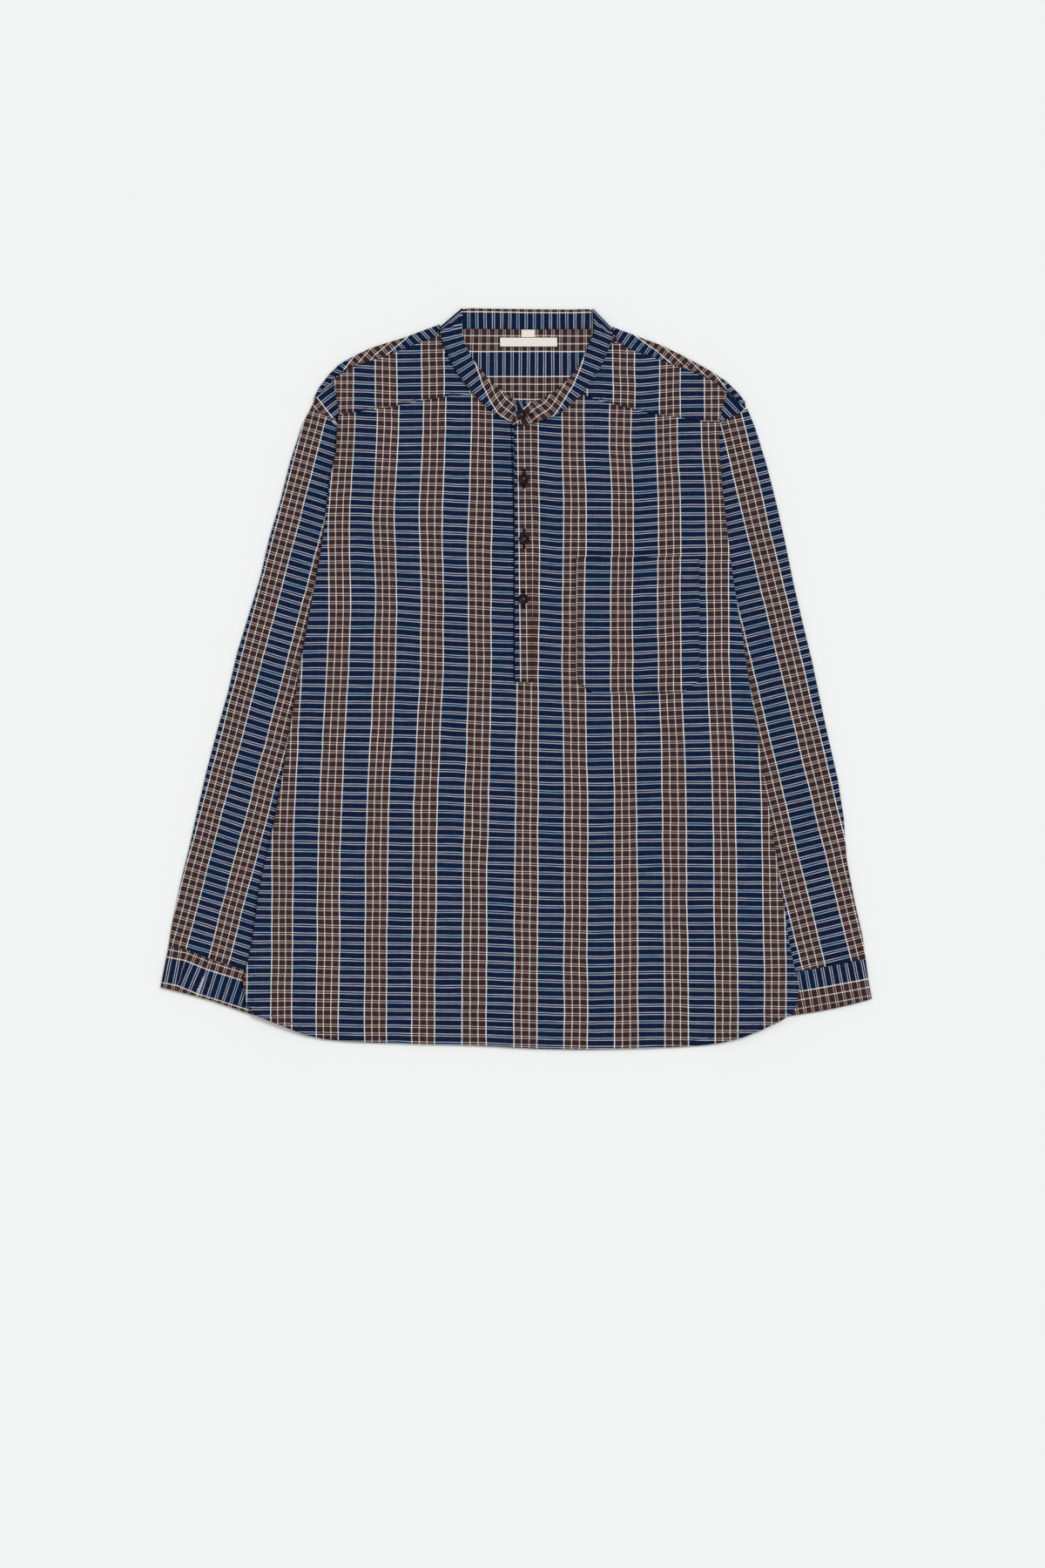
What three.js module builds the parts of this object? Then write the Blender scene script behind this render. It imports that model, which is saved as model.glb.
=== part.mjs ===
// Yarn-dyed pullover shirt with a band collar and a half placket, laid flat on its back.
// Millimetres. +X is the right of the laid shirt as seen from above, +Y points to the collar, +Z up.
// "left" and "right" are the sides seen from above. The floor is z = 0.
import * as THREE from 'three';

// Driving sizes of the cloth and its layers
const WALL = 1.2;             // thickness of every cloth wall
const BAND_WALL = 1.4;        // doubled cloth of the collar band
const LABEL_WALL = 1.0;
const GAP = 0.35;             // clearance between two layers
const SEAM = 0.3;             // clearance between two pieces at a seam
const FRONT_FLOOR = WALL + GAP;                  // underside of the front over the flat back
const TUBE_HEIGHT = 2 * WALL + SEAM;             // a flattened sleeve or cuff, two walls high
const LIFT = TUBE_HEIGHT + GAP + 0.05;           // rise of the body where it lies on a sleeve

// Driving sizes of the garment
const CENTRE_X = 8;           // the buttoned centre front, right of the outline's middle
const YOKE_SEAM_Y = 262;      // lower seam of the back yoke, hidden under the front
const PLACKET = { left: -1.7, right: 17.7, top: 269.6, bottom: -3.7 };
const POCKET = { left: 64.3, right: 195.6, mouth: 129.3, bottom: -15.4, cornerX: 17.5, cornerY: 13 };
const NECK_LABEL = { left: -16.9, right: 43.9, top: 363.7, bottom: 354.4 };
const SIZE_LABEL = { left: 6, right: 20, top: 372.2, bottom: 364.4 };
const BUTTON = {
  diameter: 11.4, thickness: 2.4, bevel: 0.5, hole: 1.2, holeSpread: 1.6, sides: 24, holeSides: 8,
};
const YOKE_SEAM = 0.8;        // clearance at the curved seam between the front and its yokes
const FOLD_SLOPE = 3.4;       // run of the step from the raised armhole fold down to the sleeve seam
const SLIT = { x: 9.3, width: 0.6, bottom: 6 };
const BACK_STEP = { start: 9, end: 39 };    // where the back rises, as distances from a sleeve under it
const FRONT_STEP = { start: 12, end: 75 };  // the same for the front, whose slope is longer
const BAND_LAP = 1.9;         // rise of the band's right end over its left end
const BAND_REST = 0.3;        // half the fall of the sloping band under its button
const RELIEF_EDGE = 14;       // run in which a sleeve's folds die out at its own edges
const RELIEF_CLEAR = { gap: 6, run: 16 };   // the same at the body's edge over it

// Outline of the laid body: x of its two long edges at heights y
const BODY_LEFT = [
  { y: 288, x: -188.6 }, { y: 272.6, x: -190.4 }, { y: 242.8, x: -191.8 }, { y: 213, x: -198.6 },
  { y: 160.9, x: -204.5 }, { y: 109.8, x: -212.7 }, { y: 54.9, x: -223 }, { y: -15.8, x: -234.9 },
  { y: -112.6, x: -250.8 }, { y: -178.6, x: -263.3 }, { y: -218.6, x: -273.2 }, { y: -270.7, x: -279.9 },
  { y: -309.8, x: -287 }, { y: -330.2, x: -293.2 }, { y: -344.2, x: -288.2 }, { y: -400, x: -288 },
];
const BODY_RIGHT = [
  { y: 288, x: 217 }, { y: 273.5, x: 216.7 }, { y: 242.8, x: 217.2 }, { y: 213, x: 219.3 },
  { y: 154.4, x: 225.8 }, { y: 109.8, x: 231.2 }, { y: 54.9, x: 240.2 }, { y: -28.8, x: 252.6 },
  { y: -112.6, x: 265.6 }, { y: -191.6, x: 278.1 }, { y: -280, x: 291.3 }, { y: -317.2, x: 297.2 },
  { y: -333, x: 303.4 }, { y: -350.7, x: 298.9 }, { y: -400, x: 298.9 },
];
// Hem of the body, from left to right
const HEM = [
  { x: -288.2, y: -344.2 }, { x: -278.6, y: -359.1 }, { x: -266.5, y: -363.7 }, { x: -243.3, y: -373 },
  { x: -218.1, y: -382.3 }, { x: -185.6, y: -387 }, { x: -114, y: -389.8 }, { x: -45.1, y: -391.6 },
  { x: 31.2, y: -395.3 }, { x: 72.1, y: -395.8 }, { x: 110.2, y: -395.3 }, { x: 155.8, y: -394 },
  { x: 196.7, y: -391.6 }, { x: 228.4, y: -387 }, { x: 255.3, y: -377.7 }, { x: 276.7, y: -368.4 },
  { x: 291.6, y: -359.1 }, { x: 298.9, y: -350.7 },
];
// Top edge of the front: the left yoke seam, the neck under the collar band, the right yoke seam
const FRONT_TOP = [
  { x: -188.4, y: 282.8 }, { x: -168.8, y: 285.6 }, { x: -146.5, y: 288.4 }, { x: -109.3, y: 295.8 },
  { x: -74, y: 302 }, { x: -56, y: 304.2 }, { x: -43.5, y: 305.6 }, { x: -29.3, y: 294 },
  { x: -17.2, y: 284.7 }, { x: -5.1, y: 279.1 }, { x: 8, y: 277.7 }, { x: 19.1, y: 278.6 },
  { x: 32.1, y: 280.9 }, { x: 46, y: 288.4 }, { x: 58.1, y: 299.5 }, { x: 70.4, y: 304.2 },
  { x: 86, y: 298.6 }, { x: 102.8, y: 294 }, { x: 125.1, y: 288.4 }, { x: 149.3, y: 281.9 },
  { x: 172.6, y: 279.1 }, { x: 197.7, y: 274.4 }, { x: 216.7, y: 273.5 },
];
const YOKE_CORNER = { left: -43.5, right: 70.4 };

// Upper corner of the back on each side, cut away along the armhole
const BACK_LEFT = [
  { y: YOKE_SEAM_Y, x: -145.6 }, { y: 248, x: -165 }, { y: 232, x: -183 }, { y: 213, x: -198 },
  ...BODY_LEFT.filter((row) => row.y < 213),
];
const BACK_RIGHT = [
  { y: YOKE_SEAM_Y, x: 163.3 }, { y: 248, x: 184 }, { y: 232, x: 203 }, { y: 213, x: 218.6 },
  ...BODY_RIGHT.filter((row) => row.y < 213),
];

// Sleeves: outer silhouette and armhole seam from the shoulder, and the seam that the cuff is sewn to
const SLEEVE_LEFT = {
  outer: [
    { x: -218.1, y: 290.2 }, { x: -224.7, y: 278.1 }, { x: -233, y: 259.5 }, { x: -243.3, y: 222.3 },
    { x: -252.6, y: 185.1 }, { x: -263.7, y: 147.9 }, { x: -272.1, y: 110.7 }, { x: -283.3, y: 73.5 },
    { x: -295.3, y: 36.3 }, { x: -303.7, y: -0.9 }, { x: -314, y: -38.1 }, { x: -324.2, y: -75.3 },
    { x: -333.5, y: -112.6 }, { x: -341.9, y: -149.8 }, { x: -350.2, y: -187 }, { x: -359.5, y: -224.2 },
    { x: -367, y: -261.4 }, { x: -370.9, y: -286 },
  ],
  head: [
    { x: -218.1, y: 290.2 }, { x: -206, y: 282.3 }, { x: -193.3, y: 274 }, { x: -182.8, y: 254.9 },
    { x: -167.9, y: 227 }, { x: -149.3, y: 196.3 }, { x: -127.9, y: 166.5 },
  ],
  wrist: [
    { x: -370.9, y: -286 }, { x: -350.2, y: -289.9 }, { x: -327, y: -299.5 }, { x: -302.8, y: -307 },
    { x: -287, y: -312.2 }, { x: -258.1, y: -320.9 },
  ],
  cuffEnd: [
    { x: -379.4, y: -329.3 }, { x: -350.2, y: -336.7 }, { x: -317.7, y: -346 }, { x: -292.6, y: -355 },
    { x: -268.4, y: -362.8 },
  ],
  cuffOuter: [{ x: -370.9, y: -286 }, { x: -374.5, y: -304 }, { x: -379.4, y: -329.3 }],
};
const SLEEVE_RIGHT = {
  outer: [
    { x: 247, y: 288.4 }, { x: 251.6, y: 278.1 }, { x: 258.1, y: 259.5 }, { x: 269.3, y: 222.3 },
    { x: 278.6, y: 185.1 }, { x: 287, y: 147.9 }, { x: 294.4, y: 110.7 }, { x: 302.8, y: 73.5 },
    { x: 312.1, y: 36.3 }, { x: 320.5, y: -0.9 }, { x: 327.9, y: -38.1 }, { x: 336.3, y: -75.3 },
    { x: 344.7, y: -112.6 }, { x: 350.2, y: -149.8 }, { x: 352.4, y: -187 }, { x: 358.6, y: -224.2 },
    { x: 367.9, y: -261.4 }, { x: 373.5, y: -299.5 },
  ],
  head: [
    { x: 247, y: 288.4 }, { x: 233, y: 280.9 }, { x: 216.9, y: 274 }, { x: 206, y: 254.9 },
    { x: 191.2, y: 227 }, { x: 172.6, y: 196.3 }, { x: 152.1, y: 166.5 },
  ],
  wrist: [
    { x: 373.5, y: -299.5 }, { x: 354, y: -303.3 }, { x: 332.6, y: -307.4 }, { x: 298.1, y: -313.5 },
    { x: 257.2, y: -320.9 },
  ],
  cuffEnd: [
    { x: 380, y: -341.9 }, { x: 357.7, y: -347.9 }, { x: 332.6, y: -353.5 }, { x: 304.7, y: -358.1 },
    { x: 264.7, y: -363.7 },
  ],
  cuffOuter: [{ x: 373.5, y: -299.5 }, { x: 376.2, y: -320 }, { x: 380, y: -341.9 }],
};

// Back yoke: its lower edge, the shoulder fold and the seam on the front, from the neck outward
const YOKE_LEFT = [
  { lowX: -86, lowY: 262.3, foldX: -85.6, foldY: 376.6, seamX: -83.6, seamY: 366.4 },
  { lowX: -102.8, lowY: 262.3, foldX: -105.6, foldY: 369.3, seamX: -102.8, seamY: 359.1 },
  { lowX: -120.5, lowY: 262.3, foldX: -122.5, foldY: 363, seamX: -116.9, seamY: 353.4 },
  { lowX: -134.4, lowY: 262.3, foldX: -139.1, foldY: 358.1, seamX: -130.8, seamY: 348 },
  { lowX: -145.6, lowY: 262.8, foldX: -155.8, foldY: 352.6, seamX: -149.3, seamY: 341.9 },
  { lowX: -159.5, lowY: 257, foldX: -173.5, foldY: 344.2, seamX: -167.5, seamY: 335.8 },
  { lowX: -176.3, lowY: 254, foldX: -188.4, foldY: 335.8, seamX: -183.8, seamY: 329.8 },
  { lowX: -192.1, lowY: 275.4, foldX: -199.8, foldY: 324.7, seamX: -195.6, seamY: 319.4 },
  { lowX: -205.1, lowY: 282.7, foldX: -210.9, foldY: 309.8, seamX: -208.1, seamY: 308 },
  { lowX: -216.5, lowY: 290.4, foldX: -215.6, foldY: 299.5, seamX: -213.6, seamY: 299.2 },
];
const YOKE_RIGHT = [
  { lowX: 104.7, lowY: 262.3, foldX: 107.5, foldY: 373.6, seamX: 107, seamY: 361.5 },
  { lowX: 120.5, lowY: 262.3, foldX: 122.5, foldY: 368.3, seamX: 124.2, seamY: 350.6 },
  { lowX: 134.4, lowY: 262.3, foldX: 138.3, foldY: 362, seamX: 142.8, seamY: 345.1 },
  { lowX: 148.4, lowY: 262.3, foldX: 154.4, foldY: 356.3, seamX: 157.7, seamY: 339.5 },
  { lowX: 163.3, lowY: 262.8, foldX: 173.6, foldY: 347, seamX: 174.3, seamY: 333 },
  { lowX: 180.9, lowY: 256, foldX: 193, foldY: 336.7, seamX: 190.4, seamY: 327.4 },
  { lowX: 198.6, lowY: 255, foldX: 209.8, foldY: 327.4, seamX: 204.3, seamY: 321.3 },
  { lowX: 215.3, lowY: 275.3, foldX: 225.4, foldY: 316.7, seamX: 219.7, seamY: 313.2 },
  { lowX: 231.2, lowY: 282, foldX: 238, foldY: 304.5, seamX: 231.6, seamY: 302.6 },
  { lowX: 245, lowY: 290, foldX: 245.2, foldY: 294.9, seamX: 240.6, seamY: 292.8 },
];
// Neck edge of the back yoke, under the back of the collar band
const NECK_LEAF = 10;         // length of the unused upper leaf in the neck columns
const NECK_BACK = [
  { x: -83.8, y: 372.9 }, { x: -60, y: 372.7 }, { x: -24, y: 372.5 }, { x: 12, y: 372.4 },
  { x: 48, y: 372.5 }, { x: 82, y: 372.6 }, { x: 103.6, y: 371.8 },
];

// Front yokes: seam to the shoulder strip from the fold outward to the neck, and the edge at the neck
const FRONT_YOKE_LEFT = {
  top: [
    { x: -194.7, y: 317.4 }, { x: -182.8, y: 328.5 }, { x: -166.5, y: 334.9 }, { x: -149.3, y: 341 },
    { x: -128.8, y: 348 }, { x: -114.9, y: 353.4 }, { x: -102.8, y: 358.1 }, { x: -82.2, y: 366 },
  ],
  neck: [
    { x: -82.2, y: 366 }, { x: -76.5, y: 352 }, { x: -66, y: 333 }, { x: -53, y: 316.5 },
    { x: -43.5, y: 306.5 },
  ],
  fold: [{ x: -194.7, y: 317.4 }, { x: -190.4, y: 303.3 }, { x: -188.8, y: 283.2 }],
  wedge: [
    { x: -196.2, y: 316.2 }, { x: -208.4, y: 306.2 }, { x: -214, y: 298.4 }, { x: -217.6, y: 290.6 },
  ],
  seamFoldEnd: { x: -193.5, y: 275.4 },
};
const FRONT_YOKE_RIGHT = {
  top: [
    { x: 223.7, y: 303.4 }, { x: 218.6, y: 312.3 }, { x: 203.3, y: 320.5 }, { x: 188.4, y: 327 },
    { x: 174.3, y: 332.1 }, { x: 157.7, y: 338.5 }, { x: 142.8, y: 344.1 }, { x: 124.2, y: 349.5 },
    { x: 106.6, y: 360.2 },
  ],
  neck: [
    { x: 106.6, y: 360.2 }, { x: 98.3, y: 353 }, { x: 90, y: 335.5 }, { x: 80.5, y: 319.5 },
    { x: 70.4, y: 305.2 },
  ],
  fold: [{ x: 223.7, y: 303.4 }, { x: 218.4, y: 289 }, { x: 216.9, y: 275.6 }],
  wedge: [
    { x: 226.4, y: 302.8 }, { x: 232, y: 299.8 }, { x: 239.4, y: 292.6 }, { x: 246, y: 289.2 },
  ],
  seamFoldEnd: { x: 218.6, y: 275.4 },
};

// Collar band from the hidden left end over the left fold, round the back and down to the right end:
// the edge sewn to the neck, the free edge, and how far the stretch is raised over the layer below
const BAND_FRONT_LEFT = [
  { seamX: 15.3, seamY: 274.4, freeX: 16.2, freeY: 295.3, raise: 0 },
  { seamX: 4.2, seamY: 273.8, freeX: 8.8, freeY: 294.4, raise: 0 },
  { seamX: -7, seamY: 275.5, freeX: 0.5, freeY: 295.6, raise: 0 },
  { seamX: -20, seamY: 280.9, freeX: -9.4, freeY: 301.6, raise: 0 },
  { seamX: -33, seamY: 292.6, freeX: -19.1, freeY: 309.6, raise: 0 },
  { seamX: -47, seamY: 306.1, freeX: -30.4, freeY: 320.5, raise: 0 },
  { seamX: -55.4, seamY: 316.8, freeX: -38.4, freeY: 330, raise: 0 },
  { seamX: -64.3, seamY: 329, freeX: -46.5, freeY: 340.4, raise: 0 },
  { seamX: -74.9, seamY: 350.7, freeX: -55.3, freeY: 357.6, raise: 0 },
  { seamX: -80.5, seamY: 367.4, freeX: -58.8, freeY: 372, raise: 0 },
];
const BAND_BACK = [
  { seamX: -67.4, seamY: 373.9, freeX: -50.5, freeY: 394.9 },
  { seamX: -44.2, seamY: 373.7, freeX: -37.5, freeY: 394.7 },
  { seamX: 12.6, seamY: 373.2, freeX: 12.6, freeY: 394 },
  { seamX: 67.4, seamY: 373.5, freeX: 60.8, freeY: 393.6 },
  { seamX: 89.7, seamY: 373.9, freeX: 75.6, freeY: 394.1 },
];
const BAND_FRONT_RIGHT = [
  { seamX: 103.6, seamY: 364.4, freeX: 84.2, freeY: 372.2, raise: 0 },
  { seamX: 96.7, seamY: 347.9, freeX: 77.7, freeY: 355, raise: 0 },
  { seamX: 89.8, seamY: 332.1, freeX: 70.7, freeY: 339.5, raise: 0 },
  { seamX: 82.3, seamY: 319, freeX: 62.8, freeY: 327, raise: 0 },
  { seamX: 73, seamY: 306, freeX: 54.4, freeY: 317.2, raise: 0.15 },
  { seamX: 61.9, seamY: 295.7, freeX: 45.6, freeY: 309.4, raise: 0.8 },
  { seamX: 49.3, seamY: 285.2, freeX: 34.9, freeY: 301.6, raise: 1.6 },
  { seamX: 39.5, seamY: 279.9, freeX: 26.5, freeY: 297.5, raise: BAND_LAP },
  { seamX: 27.4, seamY: 275.8, freeX: 17.2, freeY: 295, raise: BAND_LAP },
  { seamX: 12.6, seamY: 272.3, freeX: 7.9, freeY: 294.2, raise: BAND_LAP },
  { seamX: -3.3, seamY: 270.1, freeX: 0, freeY: 294.6, raise: BAND_LAP },
];
const BAND_FOLD_LEFT = { seamX: -81.6, seamY: 375.3, freeX: -58.1, freeY: 395.3 };
const BAND_FOLD_RIGHT = { seamX: 103.1, seamY: 374, freeX: 83.3, freeY: 394.6 };
const BAND_HEIGHT = { seamFront: 3.8, freeFront: 2.8, back: BAND_WALL / 2 };

// Broad soft folds: a ridge from one end to the other with its half width and height
const FRONT_FOLDS = [
  { x1: -150, y1: 250, x2: -96, y2: 60, width: 17, height: 1.1 },
  { x1: -84, y1: 210, x2: -40, y2: -60, width: 20, height: 0.9 },
  { x1: -205, y1: 60, x2: -168, y2: -210, width: 19, height: 1.2 },
  { x1: -120, y1: -90, x2: -104, y2: -330, width: 22, height: 1.0 },
  { x1: -30, y1: -70, x2: -12, y2: -300, width: 20, height: 0.9 },
  { x1: 60, y1: -60, x2: 78, y2: -350, width: 21, height: 1.1 },
  { x1: 215, y1: 190, x2: 224, y2: -60, width: 16, height: 1.0 },
  { x1: 168, y1: -70, x2: 196, y2: -330, width: 22, height: 1.2 },
];
const SLEEVE_FOLDS = [
  { x1: -246, y1: 190, x2: -268, y2: 40, width: 12, height: 1.1 },
  { x1: -292, y1: 70, x2: -276, y2: -120, width: 13, height: 1.3 },
  { x1: -316, y1: -70, x2: -322, y2: -240, width: 14, height: 1.2 },
  { x1: 262, y1: 200, x2: 286, y2: 30, width: 12, height: 1.1 },
  { x1: 302, y1: 40, x2: 300, y2: -110, width: 13, height: 1.3 },
  { x1: 322, y1: -60, x2: 340, y2: -250, width: 14, height: 1.2 },
];

// Buttons down the placket, and the one on the collar band
const BUTTONS = [
  { name: 'button_collar', x: 5.9, y: 281.4, onBand: true },
  { name: 'button_1', x: 8.5, y: 213, onBand: false },
  { name: 'button_2', x: 8.8, y: 148.8, onBand: false },
  { name: 'button_3', x: 7.9, y: 84.7, onBand: false },
];

// Colours
const CLOTH = { color: 0x4a4857, roughness: 0.92, metalness: 0 };
const LABEL_CLOTH = { color: 0xe6e0d6, roughness: 0.8, metalness: 0 };
const BUTTON_SHELL = { color: 0x33222b, roughness: 0.45, metalness: 0 };

const group = new THREE.Group();
const UP = new THREE.Vector3(0, 0, 1);
const DOWN = new THREE.Vector3(0, 0, -1);

// Small helpers
function smooth(t) {
  const c = Math.min(Math.max(t, 0), 1);
  return c * c * (3 - 2 * c);
}

const lastOf = (rows) => rows[rows.length - 1];

function steps(count, from = 0, to = 1) {
  return Array.from({ length: count + 1 }, (_, i) => from + (to - from) * i / count);
}

// Value of a table column at a key, on a smooth curve through the rows that never overshoots them
function tableAt(rows, key, column, at) {
  const up = rows[rows.length - 1][key] > rows[0][key] ? rows : [...rows].reverse();
  const last = up.length - 1;
  if (at <= up[0][key]) return up[0][column];
  if (at >= up[last][key]) return up[last][column];
  const secant = (k) => (up[k + 1][column] - up[k][column]) / (up[k + 1][key] - up[k][key]);
  const slope = (k) => {
    const [a, b] = [secant(Math.max(k - 1, 0)), secant(Math.min(k, last - 1))];
    return a * b <= 0 ? 0 : (2 * a * b) / (a + b);
  };
  const i = up.findIndex((row) => row[key] > at) - 1;
  const h = up[i + 1][key] - up[i][key];
  const t = (at - up[i][key]) / h;
  const rise = smooth(t);
  const easeIn = t * (1 - t) * (1 - t) * h * slope(i);
  const easeOut = t * t * (1 - t) * h * slope(i + 1);
  return up[i][column] * (1 - rise) + up[i + 1][column] * rise + easeIn - easeOut;
}

// A smooth route through plan points, read by its share of length
function route(rows) {
  const points = rows.map((row) => new THREE.Vector3(row.x, row.y, 0));
  const curve = new THREE.CatmullRomCurve3(points, false, 'centripetal');
  return (t) => curve.getPointAt(Math.min(Math.max(t, 0), 1));
}

// Plan point inside four border routes: across from left to right, down from the top to the bottom
function patch(top, bottom, left, right) {
  return (u, v) => {
    const p = new THREE.Vector3();
    p.addScaledVector(top(u), 1 - v).addScaledVector(bottom(u), v);
    p.addScaledVector(left(v), 1 - u).addScaledVector(right(v), u);
    p.addScaledVector(top(0), -(1 - u) * (1 - v)).addScaledVector(top(1), -u * (1 - v));
    return p.addScaledVector(bottom(0), -(1 - u) * v).addScaledVector(bottom(1), -u * v);
  };
}

function distanceToRoute(x, y, rows) {
  const point = new THREE.Vector3(x, y, 0);
  const near = new THREE.Vector3();
  let best = Infinity;
  for (let i = 1; i < rows.length; i += 1) {
    const from = new THREE.Vector3(rows[i - 1].x, rows[i - 1].y, 0);
    const to = new THREE.Vector3(rows[i].x, rows[i].y, 0);
    new THREE.Line3(from, to).closestPointToPoint(point, true, near);
    best = Math.min(best, near.distanceTo(point));
  }
  return best;
}

// Height fields
// The hidden edge of a sleeve under the body: the armhole, the underarm line and the cuff's end
function hiddenEdge(sleeve) {
  return [...sleeve.head, lastOf(sleeve.wrist), lastOf(sleeve.cuffEnd)];
}

const HIDDEN = [
  { rows: hiddenEdge(SLEEVE_LEFT), side: -1 },
  { rows: hiddenEdge(SLEEVE_RIGHT), side: 1 },
];

// Distance of a plan point from the sleeve that the body covers, below zero over the sleeve
function clearOfSleeve(x, y, { rows, side }) {
  const below = y < rows[2].y;
  const inside = below && side * (x - tableAt(rows, 'y', 'x', y)) > 0;
  return (inside ? -1 : 1) * distanceToRoute(x, y, rows);
}

function lift(x, y, { start, end }) {
  const shares = HIDDEN.map((edge) => 1 - smooth((clearOfSleeve(x, y, edge) - start) / (end - start)));
  return LIFT * Math.max(...shares);
}

function ridges(x, y, folds) {
  let height = 0;
  for (const fold of folds) {
    const run = new THREE.Vector2(fold.x2 - fold.x1, fold.y2 - fold.y1);
    const from = new THREE.Vector2(x - fold.x1, y - fold.y1);
    const t = from.dot(run) / run.lengthSq();
    const off = Math.abs(from.cross(run)) / run.length();
    const fade = smooth(t / 0.3) * smooth((1 - t) / 0.3);
    height += fold.height * fade * Math.exp(-((off / fold.width) ** 2));
  }
  return height;
}

const backFloor = (x, y) => lift(x, y, BACK_STEP);
const frontFloor = (x, y) => FRONT_FLOOR + lift(x, y, FRONT_STEP) + ridges(x, y, FRONT_FOLDS);

// A wall from a grid of middle points and its outward directions; keep tells which cells exist
function wallGeometry(points, normals, thickness, keep = () => true) {
  const columns = points.length;
  const rows = points[0].length;
  const positions = [];
  const index = [];
  const id = (i, j, inner) => (i * rows + j) * 2 + (inner ? 1 : 0);
  for (let i = 0; i < columns; i += 1) {
    for (let j = 0; j < rows; j += 1) {
      for (const side of [0.5, -0.5]) {
        const p = points[i][j].clone().addScaledVector(normals[i][j], side * thickness);
        positions.push(p.x, p.y, p.z);
      }
    }
  }
  const has = (i, j) => i >= 0 && j >= 0 && i < columns - 1 && j < rows - 1 && keep(i, j);
  for (let i = 0; i < columns - 1; i += 1) {
    for (let j = 0; j < rows - 1; j += 1) {
      if (!has(i, j)) continue;
      const corners = [[i, j], [i + 1, j], [i + 1, j + 1], [i, j + 1]];
      const beyond = [[i, j - 1], [i + 1, j], [i, j + 1], [i - 1, j]];
      const [a, b, c, d] = corners.map(([m, n]) => id(m, n, false));
      index.push(a, b, c, a, c, d);
      const [e, f, g, h] = corners.map(([m, n]) => id(m, n, true));
      index.push(e, g, f, e, h, g);
      for (let k = 0; k < 4; k += 1) {
        if (has(...beyond[k])) continue;
        const [from, to] = [corners[k], corners[(k + 1) % 4]];
        const [outFrom, inFrom] = [id(...from, false), id(...from, true)];
        const [outTo, inTo] = [id(...to, false), id(...to, true)];
        index.push(outTo, outFrom, inFrom, outTo, inFrom, inTo);
      }
    }
  }
  return closedGeometry(positions, index);
}

// Drop unused points, and turn the faces out where the signed volume is below zero
function closedGeometry(positions, index) {
  const used = new Map();
  const kept = [];
  const order = index.map((old) => {
    if (!used.has(old)) {
      used.set(old, used.size);
      kept.push(positions[3 * old], positions[3 * old + 1], positions[3 * old + 2]);
    }
    return used.get(old);
  });
  const at = (k) => new THREE.Vector3().fromArray(kept, 3 * order[k]);
  let volume = 0;
  for (let k = 0; k < order.length; k += 3) {
    volume += at(k).dot(at(k + 1).cross(at(k + 2)));
  }
  if (volume < 0) {
    for (let k = 0; k < order.length; k += 3) {
      [order[k + 1], order[k + 2]] = [order[k + 2], order[k + 1]];
    }
  }
  const geometry = new THREE.BufferGeometry();
  geometry.setAttribute('position', new THREE.Float32BufferAttribute(kept, 3));
  geometry.setIndex(order);
  geometry.computeVertexNormals();
  return geometry;
}

function add(name, geometry, finish) {
  const mesh = new THREE.Mesh(geometry, new THREE.MeshStandardMaterial(finish));
  mesh.name = name;
  group.add(mesh);
  return mesh;
}

// A panel that lies on a height field: plan points over two lists of shares
function addPanel(name, across, down, plan, floor, thickness, finish, keep) {
  const points = across.map((u) => down.map((v) => {
    const p = plan(u, v);
    return new THREE.Vector3(p.x, p.y, floor(p.x, p.y) + thickness / 2);
  }));
  const normals = points.map((column) => column.map(() => UP));
  add(name, wallGeometry(points, normals, thickness, keep), finish);
}

// Front and back
// Plan of a body panel: share s runs from -1 at the left edge over 0 at the centre front to 1
function bodyPlan(leftEdge, rightEdge, top, bottom) {
  const shareOf = (row) => {
    const edge = row.x < CENTRE_X ? leftEdge : rightEdge;
    const reach = Math.abs(tableAt(edge, 'y', 'x', row.y) - CENTRE_X);
    return { s: Math.max(-1, Math.min(1, (row.x - CENTRE_X) / reach)), y: row.y };
  };
  const topRows = top.map(shareOf);
  const bottomRows = bottom.map(shareOf);
  return (s, v) => {
    const y = tableAt(topRows, 's', 'y', s) * (1 - v) + tableAt(bottomRows, 's', 'y', s) * v;
    const edge = s < 0 ? leftEdge : rightEdge;
    const x = CENTRE_X + Math.abs(s) * (tableAt(edge, 'y', 'x', y) - CENTRE_X);
    return new THREE.Vector3(x, y, 0);
  };
}

function addFront() {
  const plan = bodyPlan(BODY_LEFT, BODY_RIGHT, FRONT_TOP, HEM);
  const slitReach = tableAt(BODY_RIGHT, 'y', 'x', (PLACKET.top + PLACKET.bottom) / 2) - CENTRE_X;
  const slitLeft = (SLIT.x - SLIT.width / 2 - CENTRE_X) / slitReach;
  const slitRight = (SLIT.x + SLIT.width / 2 - CENTRE_X) / slitReach;
  const across = [...steps(2, -1, -0.94), ...steps(12, -0.86, -0.035), slitLeft, slitRight,
    ...steps(12, 0.05, 0.87), ...steps(2, 0.95, 1)];
  const down = [0, ...steps(19, 0.016, 0.965), 1];
  const slitCell = across.indexOf(slitLeft);
  const slitTop = plan(slitLeft, 0).y;
  const slitEnd = (slitTop - SLIT.bottom) / (slitTop - plan(slitLeft, 1).y);
  const keep = (i, j) => i !== slitCell || down[j + 1] > slitEnd;
  addPanel('front', across, down, plan, frontFloor, WALL, CLOTH, keep);
}

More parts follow.
